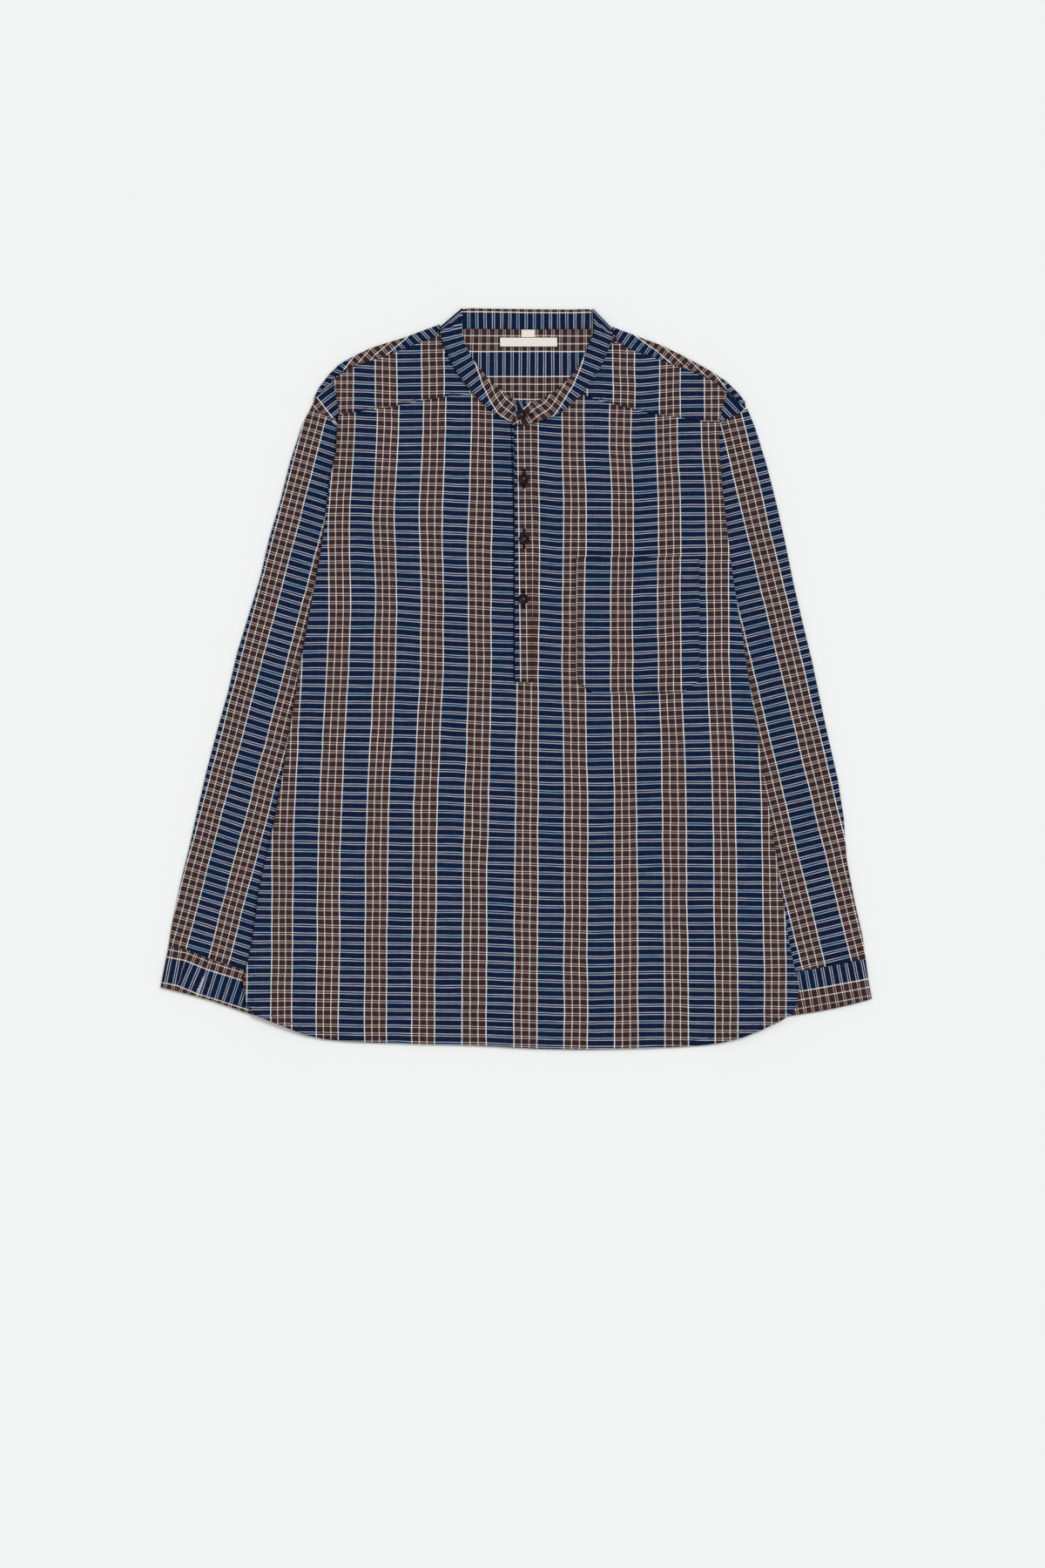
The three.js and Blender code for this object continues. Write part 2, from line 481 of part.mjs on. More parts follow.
function addBack() {
  const top = [{ x: -145.6, y: YOKE_SEAM_Y - SEAM }, { x: 163.3, y: YOKE_SEAM_Y - SEAM }];
  const hem = HEM.map((row) => ({ x: row.x * 0.998, y: row.y + 1 }));
  const plan = bodyPlan(BACK_LEFT, BACK_RIGHT, top, hem);
  const across = steps(26, -1, 1);
  const down = [0, 0.012, 0.03, 0.05, 0.075, ...steps(11, 0.12, 0.96), 1];
  addPanel('back', across, down, plan, backFloor, WALL, CLOTH);
}

// Back yoke: flat under the neck, folded over both shoulders to the seams on the front
function addBackYoke() {
  const columns = [...YOKE_LEFT].reverse();
  for (const { x, y } of NECK_BACK) {
    const low = { lowX: x, lowY: YOKE_SEAM_Y + SEAM };
    columns.push({ ...low, foldX: x, foldY: y, seamX: x, seamY: y - NECK_LEAF, open: true });
  }
  columns.push(...YOKE_RIGHT);
  const low = WALL / 2;
  const high = FRONT_FLOOR + WALL / 2;
  const radius = (high - low) / 2;
  const angles = [-90, -30, 30, 90].map(THREE.MathUtils.degToRad);
  const floorShares = steps(4, 0, 1);
  const points = [];
  const normals = [];
  columns.forEach((row, i) => {
    const before = columns[Math.max(i - 1, 0)];
    const after = columns[Math.min(i + 1, columns.length - 1)];
    const along = new THREE.Vector3(after.foldX - before.foldX, after.foldY - before.foldY, 0).normalize();
    const out = new THREE.Vector3(-along.y, along.x, 0);
    const edge = new THREE.Vector3(row.foldX, row.foldY, 0);
    const turn = row.open ? edge.clone() : edge.clone().addScaledVector(out, -(radius + WALL / 2));
    const start = new THREE.Vector3(row.lowX, row.lowY, 0);
    const end = new THREE.Vector3(row.seamX, row.seamY, 0);
    const line = [];
    const outward = [];
    for (const share of floorShares.slice(0, -1)) {
      line.push(start.clone().lerp(turn, share).setZ(low));
      outward.push(DOWN);
    }
    for (const angle of angles) {
      const side = row.open ? 0 : Math.cos(angle);
      const tilt = row.open ? -1 : Math.sin(angle);
      line.push(turn.clone().addScaledVector(out, radius * side).setZ(low + radius * (1 + tilt)));
      outward.push(new THREE.Vector3().addScaledVector(out, side).setZ(tilt));
    }
    line.push(turn.clone().lerp(end, 0.5).setZ(high));
    outward.push(UP);
    line.push(end.clone().setZ(high));
    outward.push(UP);
    points.push(line);
    normals.push(outward);
  });
  const floorCells = floorShares.length - 1;
  const keep = (i, j) => j < floorCells || !(columns[i].open || columns[i + 1].open);
  add('back_yoke', wallGeometry(points, normals, WALL, keep), CLOTH);
}

// Front yokes: the raised part ends in a fold at the armhole, the low part runs on to the sleeve seam
function addFrontYoke(name, yoke, side) {
  const seamEnd = side < 0 ? YOKE_CORNER.left : YOKE_CORNER.right;
  const seamRows = FRONT_TOP.filter((row) => (side < 0 ? row.x <= seamEnd : row.x >= seamEnd));
  const seam = side < 0 ? seamRows : [...seamRows].reverse();
  const main = patch(route(yoke.top), route(seam.map((row) => ({ x: row.x, y: row.y + YOKE_SEAM }))),
    route(yoke.fold), route(yoke.neck));
  const outer = route(yoke.wedge);
  const fold = route(yoke.fold);
  const wedgeShares = [0, 0.33, 0.67, 1];
  const down = steps(5);
  const lowPoint = (share, v) => {
    const from = outer(v);
    const foot = fold(v).clone().lerp(new THREE.Vector3(yoke.seamFoldEnd.x, yoke.seamFoldEnd.y, 0), v);
    const reach = from.distanceTo(foot);
    const slope = Math.min(FOLD_SLOPE, reach * 0.6);
    return from.lerp(foot, share * (1 - slope / reach)).setZ(FRONT_FLOOR + WALL / 2);
  };
  const highPoint = (u, v) => {
    const p = main(u, v);
    return p.setZ(frontFloor(p.x, p.y) + WALL / 2);
  };
  const points = [
    ...wedgeShares.map((share) => down.map((v) => lowPoint(share, v))),
    ...steps(8).map((u) => down.map((v) => highPoint(u, v))),
  ];
  const normals = points.map((column) => column.map(() => UP));
  add(name, wallGeometry(points, normals, WALL), CLOTH);
}

// A flattened tube: stadium sections across a plan patch, raised where the relief says
function stadium(width, halfHeight, inset, across) {
  const radius = halfHeight - inset;
  const [start, end] = [halfHeight, width - halfHeight];
  const flat = (from, to, up) => steps(across, from, to).map((d) => (
    { d, z: halfHeight + up * radius, top: up > 0 }));
  const bend = (middle, degrees) => degrees.map(THREE.MathUtils.degToRad).map((angle) => (
    { d: middle + radius * Math.cos(angle), z: halfHeight + radius * Math.sin(angle), top: false }));
  return [
    ...flat(start, end, 1), ...bend(end, [45, 0, -45]),
    ...flat(end, start, -1), ...bend(start, [225, 180, 135]),
  ];
}

function addTube(name, plan, stations, across, relief) {
  const shells = [0, WALL].map((inset) => stations.map((t) => {
    const chord = steps(12).map((s) => plan(s, t));
    let width = 0;
    for (let k = 1; k < chord.length; k += 1) width += chord[k].distanceTo(chord[k - 1]);
    return stadium(width, TUBE_HEIGHT / 2, inset, across).map(({ d, z, top }) => {
      const p = plan(d / width, t);
      const inward = smooth(d / RELIEF_EDGE) * smooth((width - d) / RELIEF_EDGE);
      const rise = top ? relief(p.x, p.y) * inward : 0;
      return p.setZ(z + rise);
    });
  }));
  const size = shells[0][0].length;
  const count = stations.length;
  const positions = shells.flat(2).flatMap((p) => [p.x, p.y, p.z]);
  const id = (shell, ring, k) => (shell * count + ring) * size + (k % size);
  const index = [];
  for (let k = 0; k < size; k += 1) {
    for (let ring = 0; ring < count - 1; ring += 1) {
      const [a, b] = [id(0, ring, k), id(0, ring, k + 1)];
      const [c, d] = [id(0, ring + 1, k + 1), id(0, ring + 1, k)];
      index.push(a, b, c, a, c, d);
      const [e, f] = [id(1, ring, k), id(1, ring, k + 1)];
      const [g, h] = [id(1, ring + 1, k + 1), id(1, ring + 1, k)];
      index.push(e, g, f, e, h, g);
    }
    index.push(id(0, 0, k), id(1, 0, k), id(1, 0, k + 1), id(0, 0, k), id(1, 0, k + 1), id(0, 0, k + 1));
    const end = count - 1;
    index.push(id(0, end, k), id(1, end, k + 1), id(1, end, k));
    index.push(id(0, end, k), id(0, end, k + 1), id(1, end, k + 1));
  }
  add(name, closedGeometry(positions, index), CLOTH);
}

// Folds of a sleeve fade out before the body covers it
function sleeveRelief(x, y) {
  const edge = x < 0 ? tableAt(BODY_LEFT, 'y', 'x', y) : tableAt(BODY_RIGHT, 'y', 'x', y);
  const clear = (x < 0 ? edge - x : x - edge) - RELIEF_CLEAR.gap;
  return ridges(x, y, SLEEVE_FOLDS) * smooth(clear / RELIEF_CLEAR.run);
}

function addSleeve(side, sleeve) {
  const inner = [lastOf(sleeve.head), lastOf(sleeve.wrist)];
  const nudge = (rows, dy) => rows.map((row) => ({ x: row.x, y: row.y + dy }));
  const plan = patch(route(sleeve.head), route(sleeve.wrist), route(sleeve.outer), route(inner));
  addTube(`sleeve_${side}`, plan, [0.0006, ...steps(13, 0.035, 0.96), 0.9996], 8, sleeveRelief);
  const cuffTop = nudge(sleeve.wrist, -0.5);
  const cuffOuter = [cuffTop[0], ...sleeve.cuffOuter.slice(1)];
  const cuffInner = [lastOf(cuffTop), lastOf(sleeve.cuffEnd)];
  const cuff = patch(route(cuffTop), route(sleeve.cuffEnd), route(cuffOuter), route(cuffInner));
  addTube(`cuff_${side}`, cuff, steps(2), 6, () => 0);
}

// Collar band: one strip, turned over at both sides of the neck
function addCollarBand() {
  const frontHeight = (row) => [BAND_HEIGHT.seamFront + row.raise, BAND_HEIGHT.freeFront + row.raise];
  const stations = [];
  const flat = (row, heights, normal) => {
    const seam = new THREE.Vector3(row.seamX, row.seamY, heights[0]);
    const free = new THREE.Vector3(row.freeX, row.freeY, heights[1]);
    stations.push({ seam, free, normal });
  };
  const turn = (fold, side, order) => {
    const along = new THREE.Vector3(fold.freeX - fold.seamX, fold.freeY - fold.seamY, 0).normalize();
    const out = new THREE.Vector3(-along.y, along.x, 0).multiplyScalar(side);
    for (const degrees of order) {
      const angle = THREE.MathUtils.degToRad(degrees);
      const normal = out.clone().multiplyScalar(Math.cos(angle)).setZ(Math.sin(angle));
      const [seam, free] = [BAND_HEIGHT.seamFront, BAND_HEIGHT.freeFront].map((high, k) => {
        const radius = (high - BAND_HEIGHT.back) / 2;
        const [x, y] = k ? [fold.freeX, fold.freeY] : [fold.seamX, fold.seamY];
        const at = new THREE.Vector3(x, y, 0);
        at.addScaledVector(out, radius * Math.cos(angle) - radius - BAND_WALL / 2);
        return at.setZ(BAND_HEIGHT.back + radius * (1 + Math.sin(angle)));
      });
      stations.push({ seam, free, normal });
    }
  };
  BAND_FRONT_LEFT.forEach((row) => flat(row, frontHeight(row), UP));
  turn(BAND_FOLD_LEFT, 1, [90, 30, -30, -90]);
  BAND_BACK.forEach((row) => flat(row, [BAND_HEIGHT.back, BAND_HEIGHT.back], DOWN));
  turn(BAND_FOLD_RIGHT, -1, [-90, -30, 30, 90]);
  BAND_FRONT_RIGHT.forEach((row) => flat(row, frontHeight(row), UP));
  const shares = [0, 0.5, 1];
  const points = stations.map(({ seam, free }) => shares.map((share) => seam.clone().lerp(free, share)));
  const normals = stations.map(({ normal }) => shares.map(() => normal));
  add('collar_band', wallGeometry(points, normals, BAND_WALL), CLOTH);
}

// Pieces that lie on the front, made from its height field
const onFront = (x, y) => frontFloor(x, y) + WALL + GAP;

function addPlacket() {
  const plan = (u, v) => new THREE.Vector3(
    PLACKET.left + u * (PLACKET.right - PLACKET.left),
    PLACKET.top + v * (PLACKET.bottom - PLACKET.top), 0);
  addPanel('placket', steps(2), steps(16), plan, onFront, WALL, CLOTH);
}

// Patch pocket with cut lower corners
function addPocket() {
  const { left, right, mouth, bottom, cornerX, cornerY } = POCKET;
  const shares = [0, 0.07, 0.133, ...steps(6, 0.25, 0.75), 0.867, 0.93, 1];
  const lowEdge = (x) => {
    const near = Math.min(x - left, right - x);
    return bottom + cornerY * Math.max(0, 1 - near / cornerX);
  };
  const plan = (u, v) => {
    const x = left + u * (right - left);
    return new THREE.Vector3(x, mouth + v * (lowEdge(x) - mouth), 0);
  };
  addPanel('pocket', shares, steps(9), plan, onFront, WALL, CLOTH);
}

function addLabel(name, box) {
  const plan = (u, v) => new THREE.Vector3(
    box.left + u * (box.right - box.left), box.top + v * (box.bottom - box.top), 0);
  addPanel(name, steps(4), steps(1), plan, () => WALL + SEAM, LABEL_WALL, LABEL_CLOTH);
}

// Four-hole buttons
function addButton({ name, x, y, onBand }) {
  const radius = BUTTON.diameter / 2 - BUTTON.bevel;
  const circle = (cx, cy, r, sides) => steps(sides).slice(0, -1).map((share) => {
    const angle = 2 * Math.PI * share;
    return new THREE.Vector2(cx + r * Math.cos(angle), cy + r * Math.sin(angle));
  });
  const shape = new THREE.Shape(circle(0, 0, radius, BUTTON.sides));
  for (const [sx, sy] of [[1, 1], [-1, 1], [-1, -1], [1, -1]]) {
    const reach = BUTTON.hole / 2 + BUTTON.bevel;
    const hole = circle(sx * BUTTON.holeSpread, sy * BUTTON.holeSpread, reach, BUTTON.holeSides);
    shape.holes.push(new THREE.Path(hole.reverse()));
  }
  const geometry = new THREE.ExtrudeGeometry(shape, {
    depth: BUTTON.thickness - 2 * BUTTON.bevel,
    bevelThickness: BUTTON.bevel,
    bevelSize: BUTTON.bevel,
    bevelOffset: 0,
    bevelSegments: 1,
  });
  const bandTop = (BAND_HEIGHT.seamFront + BAND_HEIGHT.freeFront) / 2 + BAND_LAP + BAND_WALL / 2;
  const below = onBand ? bandTop + BAND_REST : onFront(x, y) + WALL;
  const mesh = add(name, geometry, BUTTON_SHELL);
  mesh.position.set(x, y, below + GAP + BUTTON.bevel);
}

addBack();
addBackYoke();
addFront();
addFrontYoke('front_yoke_left', FRONT_YOKE_LEFT, -1);
addFrontYoke('front_yoke_right', FRONT_YOKE_RIGHT, 1);
addSleeve('left', SLEEVE_LEFT);
addSleeve('right', SLEEVE_RIGHT);
addCollarBand();
addPlacket();
addPocket();
addLabel('neck_label', NECK_LABEL);
addLabel('size_label', SIZE_LABEL);
BUTTONS.forEach(addButton);

// The origin is the middle of the outline, on the floor
const box = new THREE.Box3().setFromObject(group);
const middle = box.getCenter(new THREE.Vector3());
group.position.set(-middle.x, -middle.y, -box.min.z);

export default group;
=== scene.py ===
"""Yarn-dyed pullover shirt with a band collar and half placket, laid flat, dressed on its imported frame.

Tables are in millimetres in the frame: +X right, +Y to the collar, +Z up. "left" and "right" are seen
from above. Each cloth piece takes the outer side of its CAD wall, refines it, adds its own creases and
is a thin shell again.
"""
import math

import bmesh
import bpy
import numpy as np
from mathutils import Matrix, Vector, noise
from mathutils.bvhtree import BVHTree
from mathutils.kdtree import KDTree


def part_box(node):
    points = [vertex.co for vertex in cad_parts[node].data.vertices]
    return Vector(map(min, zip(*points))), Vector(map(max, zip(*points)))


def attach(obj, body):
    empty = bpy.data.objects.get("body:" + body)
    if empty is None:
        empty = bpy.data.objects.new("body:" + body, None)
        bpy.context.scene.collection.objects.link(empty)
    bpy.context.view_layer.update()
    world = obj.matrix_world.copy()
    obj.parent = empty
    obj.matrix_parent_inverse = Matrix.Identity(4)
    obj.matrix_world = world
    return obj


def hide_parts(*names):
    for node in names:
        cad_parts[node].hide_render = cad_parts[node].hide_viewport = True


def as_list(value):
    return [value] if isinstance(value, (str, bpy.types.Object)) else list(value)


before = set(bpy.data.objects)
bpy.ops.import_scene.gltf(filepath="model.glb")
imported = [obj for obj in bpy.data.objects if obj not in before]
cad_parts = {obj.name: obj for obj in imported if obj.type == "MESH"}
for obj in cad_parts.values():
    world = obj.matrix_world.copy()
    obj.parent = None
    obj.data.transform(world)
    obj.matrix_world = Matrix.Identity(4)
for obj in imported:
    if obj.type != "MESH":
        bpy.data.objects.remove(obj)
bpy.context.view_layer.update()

MM = 0.001

# Cloth, in mm
THICK = 0.8                    # shell of one layer of cloth
YOKE_THICK = 1.0
BAND_THICK = 1.3
BACK_EDGE = 7.0                # longest mesh edge on the back
FINE_EDGE = 5.0                # on the other large panels
YOKE_EDGE = 3.6
SMALL_EDGE = 3.0               # on small pieces
SOFT_BEND = 75                 # degrees: a wall's rims turn sharper than this, its folds less
LEVEL = 0.9                    # upward share of a face's normal, from which it counts as level
RELAX = {"rounds": 14, "steep": 0.6}
SEAM_REACH = 9                 # how far the puckers beside a seam reach

# Check: warp columns of 52 mm, in which brown fills the share BROWN between two white lines
COLUMN = 52.0
BROWN = 0.46
PAIR = 8.716                   # from one pair of weft lines to the next
PIXEL = 1 / 1.075              # the photograph's pixel on the shirt
CROSS_PAIR = 9.3 * PIXEL       # between pairs on the pieces cut crosswise

# White line that starts each brown warp column on the body: the column, and its x at these heights
COLUMN_HEIGHTS = (259.8, 174.3, 97, 3.1, -82.5, -168.1, -339.2)
BODY_COLUMNS = {
    -6: (-291, -300, -301, -302, -306, -309, -310),
    -5: (-241, -250, -250, -252, -256.6, -259.9, -261.3),
    -4: (-192, -200.9, -199, -201.8, -207.8, -211.1, -213.4),
    -3: (-148.3, -153, -149.8, -151.9, -156.7, -160.4, -161.8),
    -2: (-99, -103.9, -101.3, -102, -107.5, -110, -111.6),
    -1: (-47.4, -51.4, -51.2, -50.2, -53.6, -55.8, -58),
    0: (0.5, 3.3, 2.4, 1.2, 0.3, -1.1, -2.5),
    1: (48.9, 50.8, 49.7, 48.8, 51, 51.5, 51),
    2: (99.6, 102.4, 101.9, 101.4, 104.1, 105.1, 105),
    3: (149.6, 152, 151.9, 152.4, 155.4, 156.3, 158.9),
    4: (197.2, 203, 203.2, 204, 208.5, 210.2, 212.3),
    5: (246, 252.8, 253.7, 254.6, 260, 262.1, 265),
    6: (297, 303.5, 304.2, 305, 309.5, 311, 315),
}
# The same on the sleeves, whose columns run straight: at the height top, falling outward with slope
SLEEVE_COLUMNS = {
    "left": {"top": 259.8, "x": -230.5, "slope": 0.2643, "period": 49.5, "turn": 17, "drop": 4.2,
             "top_drop": 2.2},
    "right": {"top": 259.8, "x": 221.3, "slope": -0.243, "period": 54.0, "turn": -14, "drop": 2.7,
              "top_drop": 0.6},
}
SLEEVE_TOP = {"y": 130, "fade": 75}      # above here the rows drop by top_drop more
# How far the pairs of weft lines rise above level, in mm: by x, and down the body at these heights
ROW_TOP = 252.4
ROW_HEIGHTS = (241, 184, 126, 68, 11, -105, -220, -336)
ROW_LIFT = {
    -224: (3.6, 5.2, 7.0, 7.2, 6.6, 6.1, 4.2, 1.8),
    -170: (3.8, 5.6, 7.4, 8.0, 5.7, 4.7, 2.1, 0.5),
    -124: (1.6, 3.3, 5.3, 7.2, 5.5, 3.9, 1.8, 0.0),
    -77: (2.7, 2.8, 3.2, 3.6, 3.8, 3.0, 1.5, -0.8),
    -35: (1.2, 2.0, 1.8, 1.7, 1.1, 0.8, 0.1, -1.5),
    -4: (0.0, 0.0, 0.4, 0.2, 0.2, -0.6, -1.1, -2.8),
    44: (-4.5, -5.1, -4.1, -3.2, -2.5, -2.7, -2.6, -4.5),
    81: (-5.6, -5.2, -4.3, -3.9, -3.6, -3.1, -3.9, -5.2),
    128: (-7.4, -5.9, -4.6, -3.6, -3.4, -2.3, -3.0, -4.2),
    174: (-3.8, -2.7, -2.0, -0.8, -2.0, -1.4, -2.9, -4.4),
    221: (-3.6, -2.5, -1.4, 0.4, -0.2, -1.0, -3.1, -5.2),
    267: (-3.6, -2.5, -1.5, -1.3, -1.3, -2.4, -3.8, -6.0),
}
# How far the front yokes' columns miss the front's, in mm, and their rows, in pairs
YOKE_SHIFT = {"left": 1.9, "right": -3.6, "rows": 0.36}
POCKET_SHIFT = {"columns": 0.8, "rows": 0.12}
# Across the back yoke, from the collar seam down: height and place in the check
YOKE_ROWS = [(430, -0.98), (403.5, -0.56), (374.5, 0.0), (349.5, 0.46), (322.8, 1.0), (298.5, 1.46),
             (262, 2.1)]
STRIP_REACH = 26               # from the shoulder fold to the end of the strip
# Down the cuffs from the wrist seam: depth and place in the check
CUFF_ROWS = {
    "left": [(-10, 0.24), (0, 0.26), (9.3, 0.43), (38.6, 1.0), (60, 1.41)],
    "right": [(-10, 0.42), (0, 0.6), (20.5, 1.0), (46, 1.44)],
}
# Along the collar band from its hidden left end: where brown begins, in mm from the seam edge
BAND_BROWN = [(0, -2), (20, 0), (34, 2.5), (42, 5), (50, 8), (62, 12.5), (75, 17.5), (85, 20.5), (100, 24),
              (335, 24), (362, 21), (380, 17), (395, 13.5), (407, 10.5), (422, 5), (432, 0.5), (447.5, -2.9),
              (469.5, -15.4)]
BAND_WIDTH = 21
BAND_BACK = {"below": 2, "brown": 17.8}      # at the back it lies lowest, its inside up: brown from here on
BAND_SLANT = {"lean": 0.36, "reach": 80}     # lean of the weft pairs near both ends
BAND_START = 0.3                             # where the first pair lies
BAND_ENDS = [(15, 274.7), (15.9, 295.6)]     # corners of its hidden end, on the seam and on the free edge
END_REACH = 3
PLACKET_COLUMN = {"top": 260, "x": 1.6, "lean": 0.012, "width": 21, "level_from": 20}

# How far in mm a piece's rim reaches over the hair's breadth that the solids keep at seams: where it faces
# the hem, where it faces the collar, and elsewhere
ALL_ROUND = {"low": 0.4, "high": 0.4, "side": 0.4}
SEAM_GROW = {
    "back_yoke": ALL_ROUND,
    "front_yoke_left": {"low": 1.5},
    "front_yoke_right": {"low": 1.9},
    "sleeve_left": {"high": 1.2},
    "sleeve_right": {"high": 1.2},
    "cuff_left": {"high": 0.4},
    "cuff_right": {"high": 0.4},
    "collar_band": ALL_ROUND,
}
GROW_LIFT = 0.25                             # and how far it climbs, for each mm of reach
# Corners of the yoke that are drawn in under the band
TUGS = {"back_yoke": [{"x": -81.7, "y": 377, "reach": 7, "move_x": 6, "move_y": 2.5},
                      {"x": 103.3, "y": 375, "reach": 7, "move_x": -6, "move_y": 3}]}
# Folds of the shoulder yokes. Outward of them the cloth lies turned: a white line passes through start,
# and grain is the way that the warp runs from there, in degrees from +X
ARMHOLE_FOLD = {
    "left": {"points": [(-194.7, 317.4), (-190.4, 303.3), (-188.8, 283.2)],
             "start": (-205.4, 290.8), "grain": -52.5, "column": BROWN},
    "right": {"points": [(223.7, 303.4), (218.4, 289), (216.9, 275.6)],
              "start": (223.4, 305.4), "grain": 43, "column": BROWN + 0.02},
}
# The back yoke's strips before the shoulder folds: where brown starts along the fold, and the lines' lean
YOKE_STRIPS = {"left": {"start": 35, "lean": 23}, "right": {"start": 24, "lean": 15}}
SHOULDER_FOLD = {
    "left": [(-81.7, 378), (-85.9, 376.9), (-105.9, 369.6), (-122.8, 363.3), (-139.4, 358.4), (-156.1, 352.9),
             (-173.8, 344.5), (-188.7, 336.1), (-200.1, 325), (-211.2, 310.1), (-215.9, 299.8)],
    "right": [(103.3, 375.5), (107.2, 373.9), (122.2, 368.6), (138, 362.3), (154.1, 356.6), (173.3, 347.3),
              (192.7, 337), (209.5, 327.7), (225.1, 317), (237.7, 304.8), (244.9, 295.2)],
}
WRIST = {
    "left": [(-371.2, -286.2), (-350.5, -290.1), (-327.3, -299.7), (-303.1, -307.2), (-287.3, -312.4),
             (-258.4, -321.1)],
    "right": [(373.2, -299.7), (353.7, -303.5), (332.3, -307.6), (297.8, -313.7), (256.9, -321.1)],
}
SLEEVE_FOLD = {
    "left": [(-218.4, 290.5), (-233.3, 259.8), (-252.9, 185.4), (-272.4, 111), (-295.6, 36.6),
             (-314.3, -37.8), (-333.8, -112.3), (-350.5, -186.7), (-367.3, -261.1), (-371.2, -285.7)],
    "right": [(246.7, 288.7), (257.8, 259.8), (278.3, 185.4), (294.1, 111), (311.8, 36.6), (327.6, -37.8),
              (344.4, -112.3), (352.1, -186.7), (367.6, -261.1), (373.2, -299.2)],
}

# The body's long edges, which lie over the sleeves
BODY_EDGE = {
    "left": [(-288.5, -343.9), (-293.5, -329.9), (-280.2, -270.4), (-263.6, -178.3), (-251.1, -112.3),
             (-223.3, 55.2), (-204.8, 161.2), (-192.1, 243.1), (-188.9, 288.3)],
    "right": [(298.6, -350.4), (303.1, -332.7), (291, -279.7), (265.3, -112.3), (239.9, 55.2),
              (225.5, 154.7), (216.9, 243.1), (216.7, 288.3)],
}

# Creases: from, to, width, and height, below zero for a trough
CREASE_COLUMNS = ("x1", "y1", "x2", "y2", "width", "height")


def creases(*rows):
    return [dict(zip(CREASE_COLUMNS, row)) for row in rows]


FRONT_CREASES = creases(
    (-176, 268, -128, 205, 7, 0.9), (-184, 240, -120, 168, 8, -0.6), (-190, 216, -136, 120, 9, 0.8),
    (-60, 292, -84, 214, 7, 0.7), (-34, 262, -52, 150, 8, -0.5), (-26, 120, -40, -20, 9, 0.6),
    (46, 270, 58, 176, 8, 0.6), (128, 262, 112, 190, 8, -0.6), (204, 262, 160, 196, 7, 0.9),
    (214, 226, 172, 150, 8, 0.7), (222, 150, 206, 10, 9, -0.7), (-196, 120, -178, -30, 8, 0.8),
    (-150, 70, -140, -120, 10, -0.6), (-88, 20, -78, -180, 9, 0.7), (-4, -14, 4, -150, 7, 0.8),
    (24, -30, 36, -210, 9, -0.6), (98, -30, 110, -230, 9, 0.7), (150, -24, 168, -190, 10, -0.6),
    (230, -20, 246, -220, 10, 0.8), (-236, -130, -244, -300, 10, 0.8), (-190, -200, -180, -360, 11, -0.6),
    (-70, -230, -60, -375, 11, 0.7), (40, -240, 30, -380, 10, 0.6), (130, -230, 140, -375, 12, -0.7),
    (220, -220, 236, -350, 12, 0.8),
)
SLEEVE_CREASES = creases(
    (-262, 168, -222, 120, 6, 0.9), (-272, 112, -228, 62, 7, -0.7), (-288, 40, -240, 18, 6, 0.8),
    (-300, -6, -262, -58, 7, 0.9), (-318, -96, -278, -122, 6, -0.7), (-326, -150, -292, -214, 7, 0.9),
    (-346, -214, -330, -276, 6, 0.8), (284, 160, 244, 118, 6, 0.8), (292, 96, 252, 70, 7, -0.7),
    (306, 40, 268, -10, 6, 0.9), (322, -40, 286, -84, 7, 0.8), (336, -104, 298, -132, 6, -0.7),
    (344, -160, 314, -226, 7, 0.9), (352, -226, 340, -288, 6, 0.8),
)
BACK_CREASES = creases(
    (-120, 230, -96, 40, 11, 0.5), (60, 240, 40, 20, 12, 0.5), (-150, -60, -130, -300, 12, 0.6),
    (20, -90, 44, -330, 13, 0.5), (180, -40, 200, -280, 12, 0.6),
)
CREASE_FADE = {"start": 0.35, "end": 0.45}      # shares of its length in which a crease rises and dies out
CREASE_WANDER = {"share": 0.5, "turns": 2.3}    # how far, in widths, and how often it leaves its line
# Where the front lies calm: beside the buttons, round the collar and before the shoulder fold
CALM = {"button_x": 8, "button_reach": 9, "button_fade": 16, "placket_foot": -12, "neck_x": 10, "neck_y": 330,
        "neck_reach": 62, "neck_fade": 24, "shoulder_y": 352, "shoulder_slope": 0.18, "shoulder_fade": 30}
SLEEVE_CALM = {"fold_fade": 12, "body_reach": 2, "body_fade": 10}

# Slow swells of relief, and of lines off their charted place: height and size in mm, and a seed
SWELLS = {
    "front_relief": [(0.35, 34, 2.0), (0.2, 17, 5.0)],
    "sleeve_relief": [(0.35, 26, 8.0)],
    "back_relief": [(0.25, 40, 11.0)],
    "columns": [(0.9, 55, 21.0), (0.35, 16, 24.0)],
    "rows": [(0.8, 60, 31.0), (0.4, 18, 35.0)],
    "yoke_columns": [(0.6, 40, 41.0)],
    "yoke_rows": [(0.8, 50, 43.0)],
    "wedge_rows": [(0.5, 14, 45.0)],
    "strip_rows": [(0.6, 25, 47.0)],
    "sleeve_columns": [(0.8, 45, 51.0), (0.3, 15, 53.0)],
    "sleeve_rows": [(0.9, 50, 55.0)],
    "cuff_columns": [(0.3, 20, 61.0)],
    "cuff_rows": [(0.4, 30, 63.0)],
    "band_columns": [(0.3, 22, 71.0)],
    "band_rows": [(0.5, 30, 73.0)],
}


# Skins: the outer side of a CAD wall, refined
def face_angle(edge):
    """Angle between an edge's two faces, in degrees."""
    first, second = edge.link_faces
    return math.degrees(first.normal.angle(second.normal, 0.0))


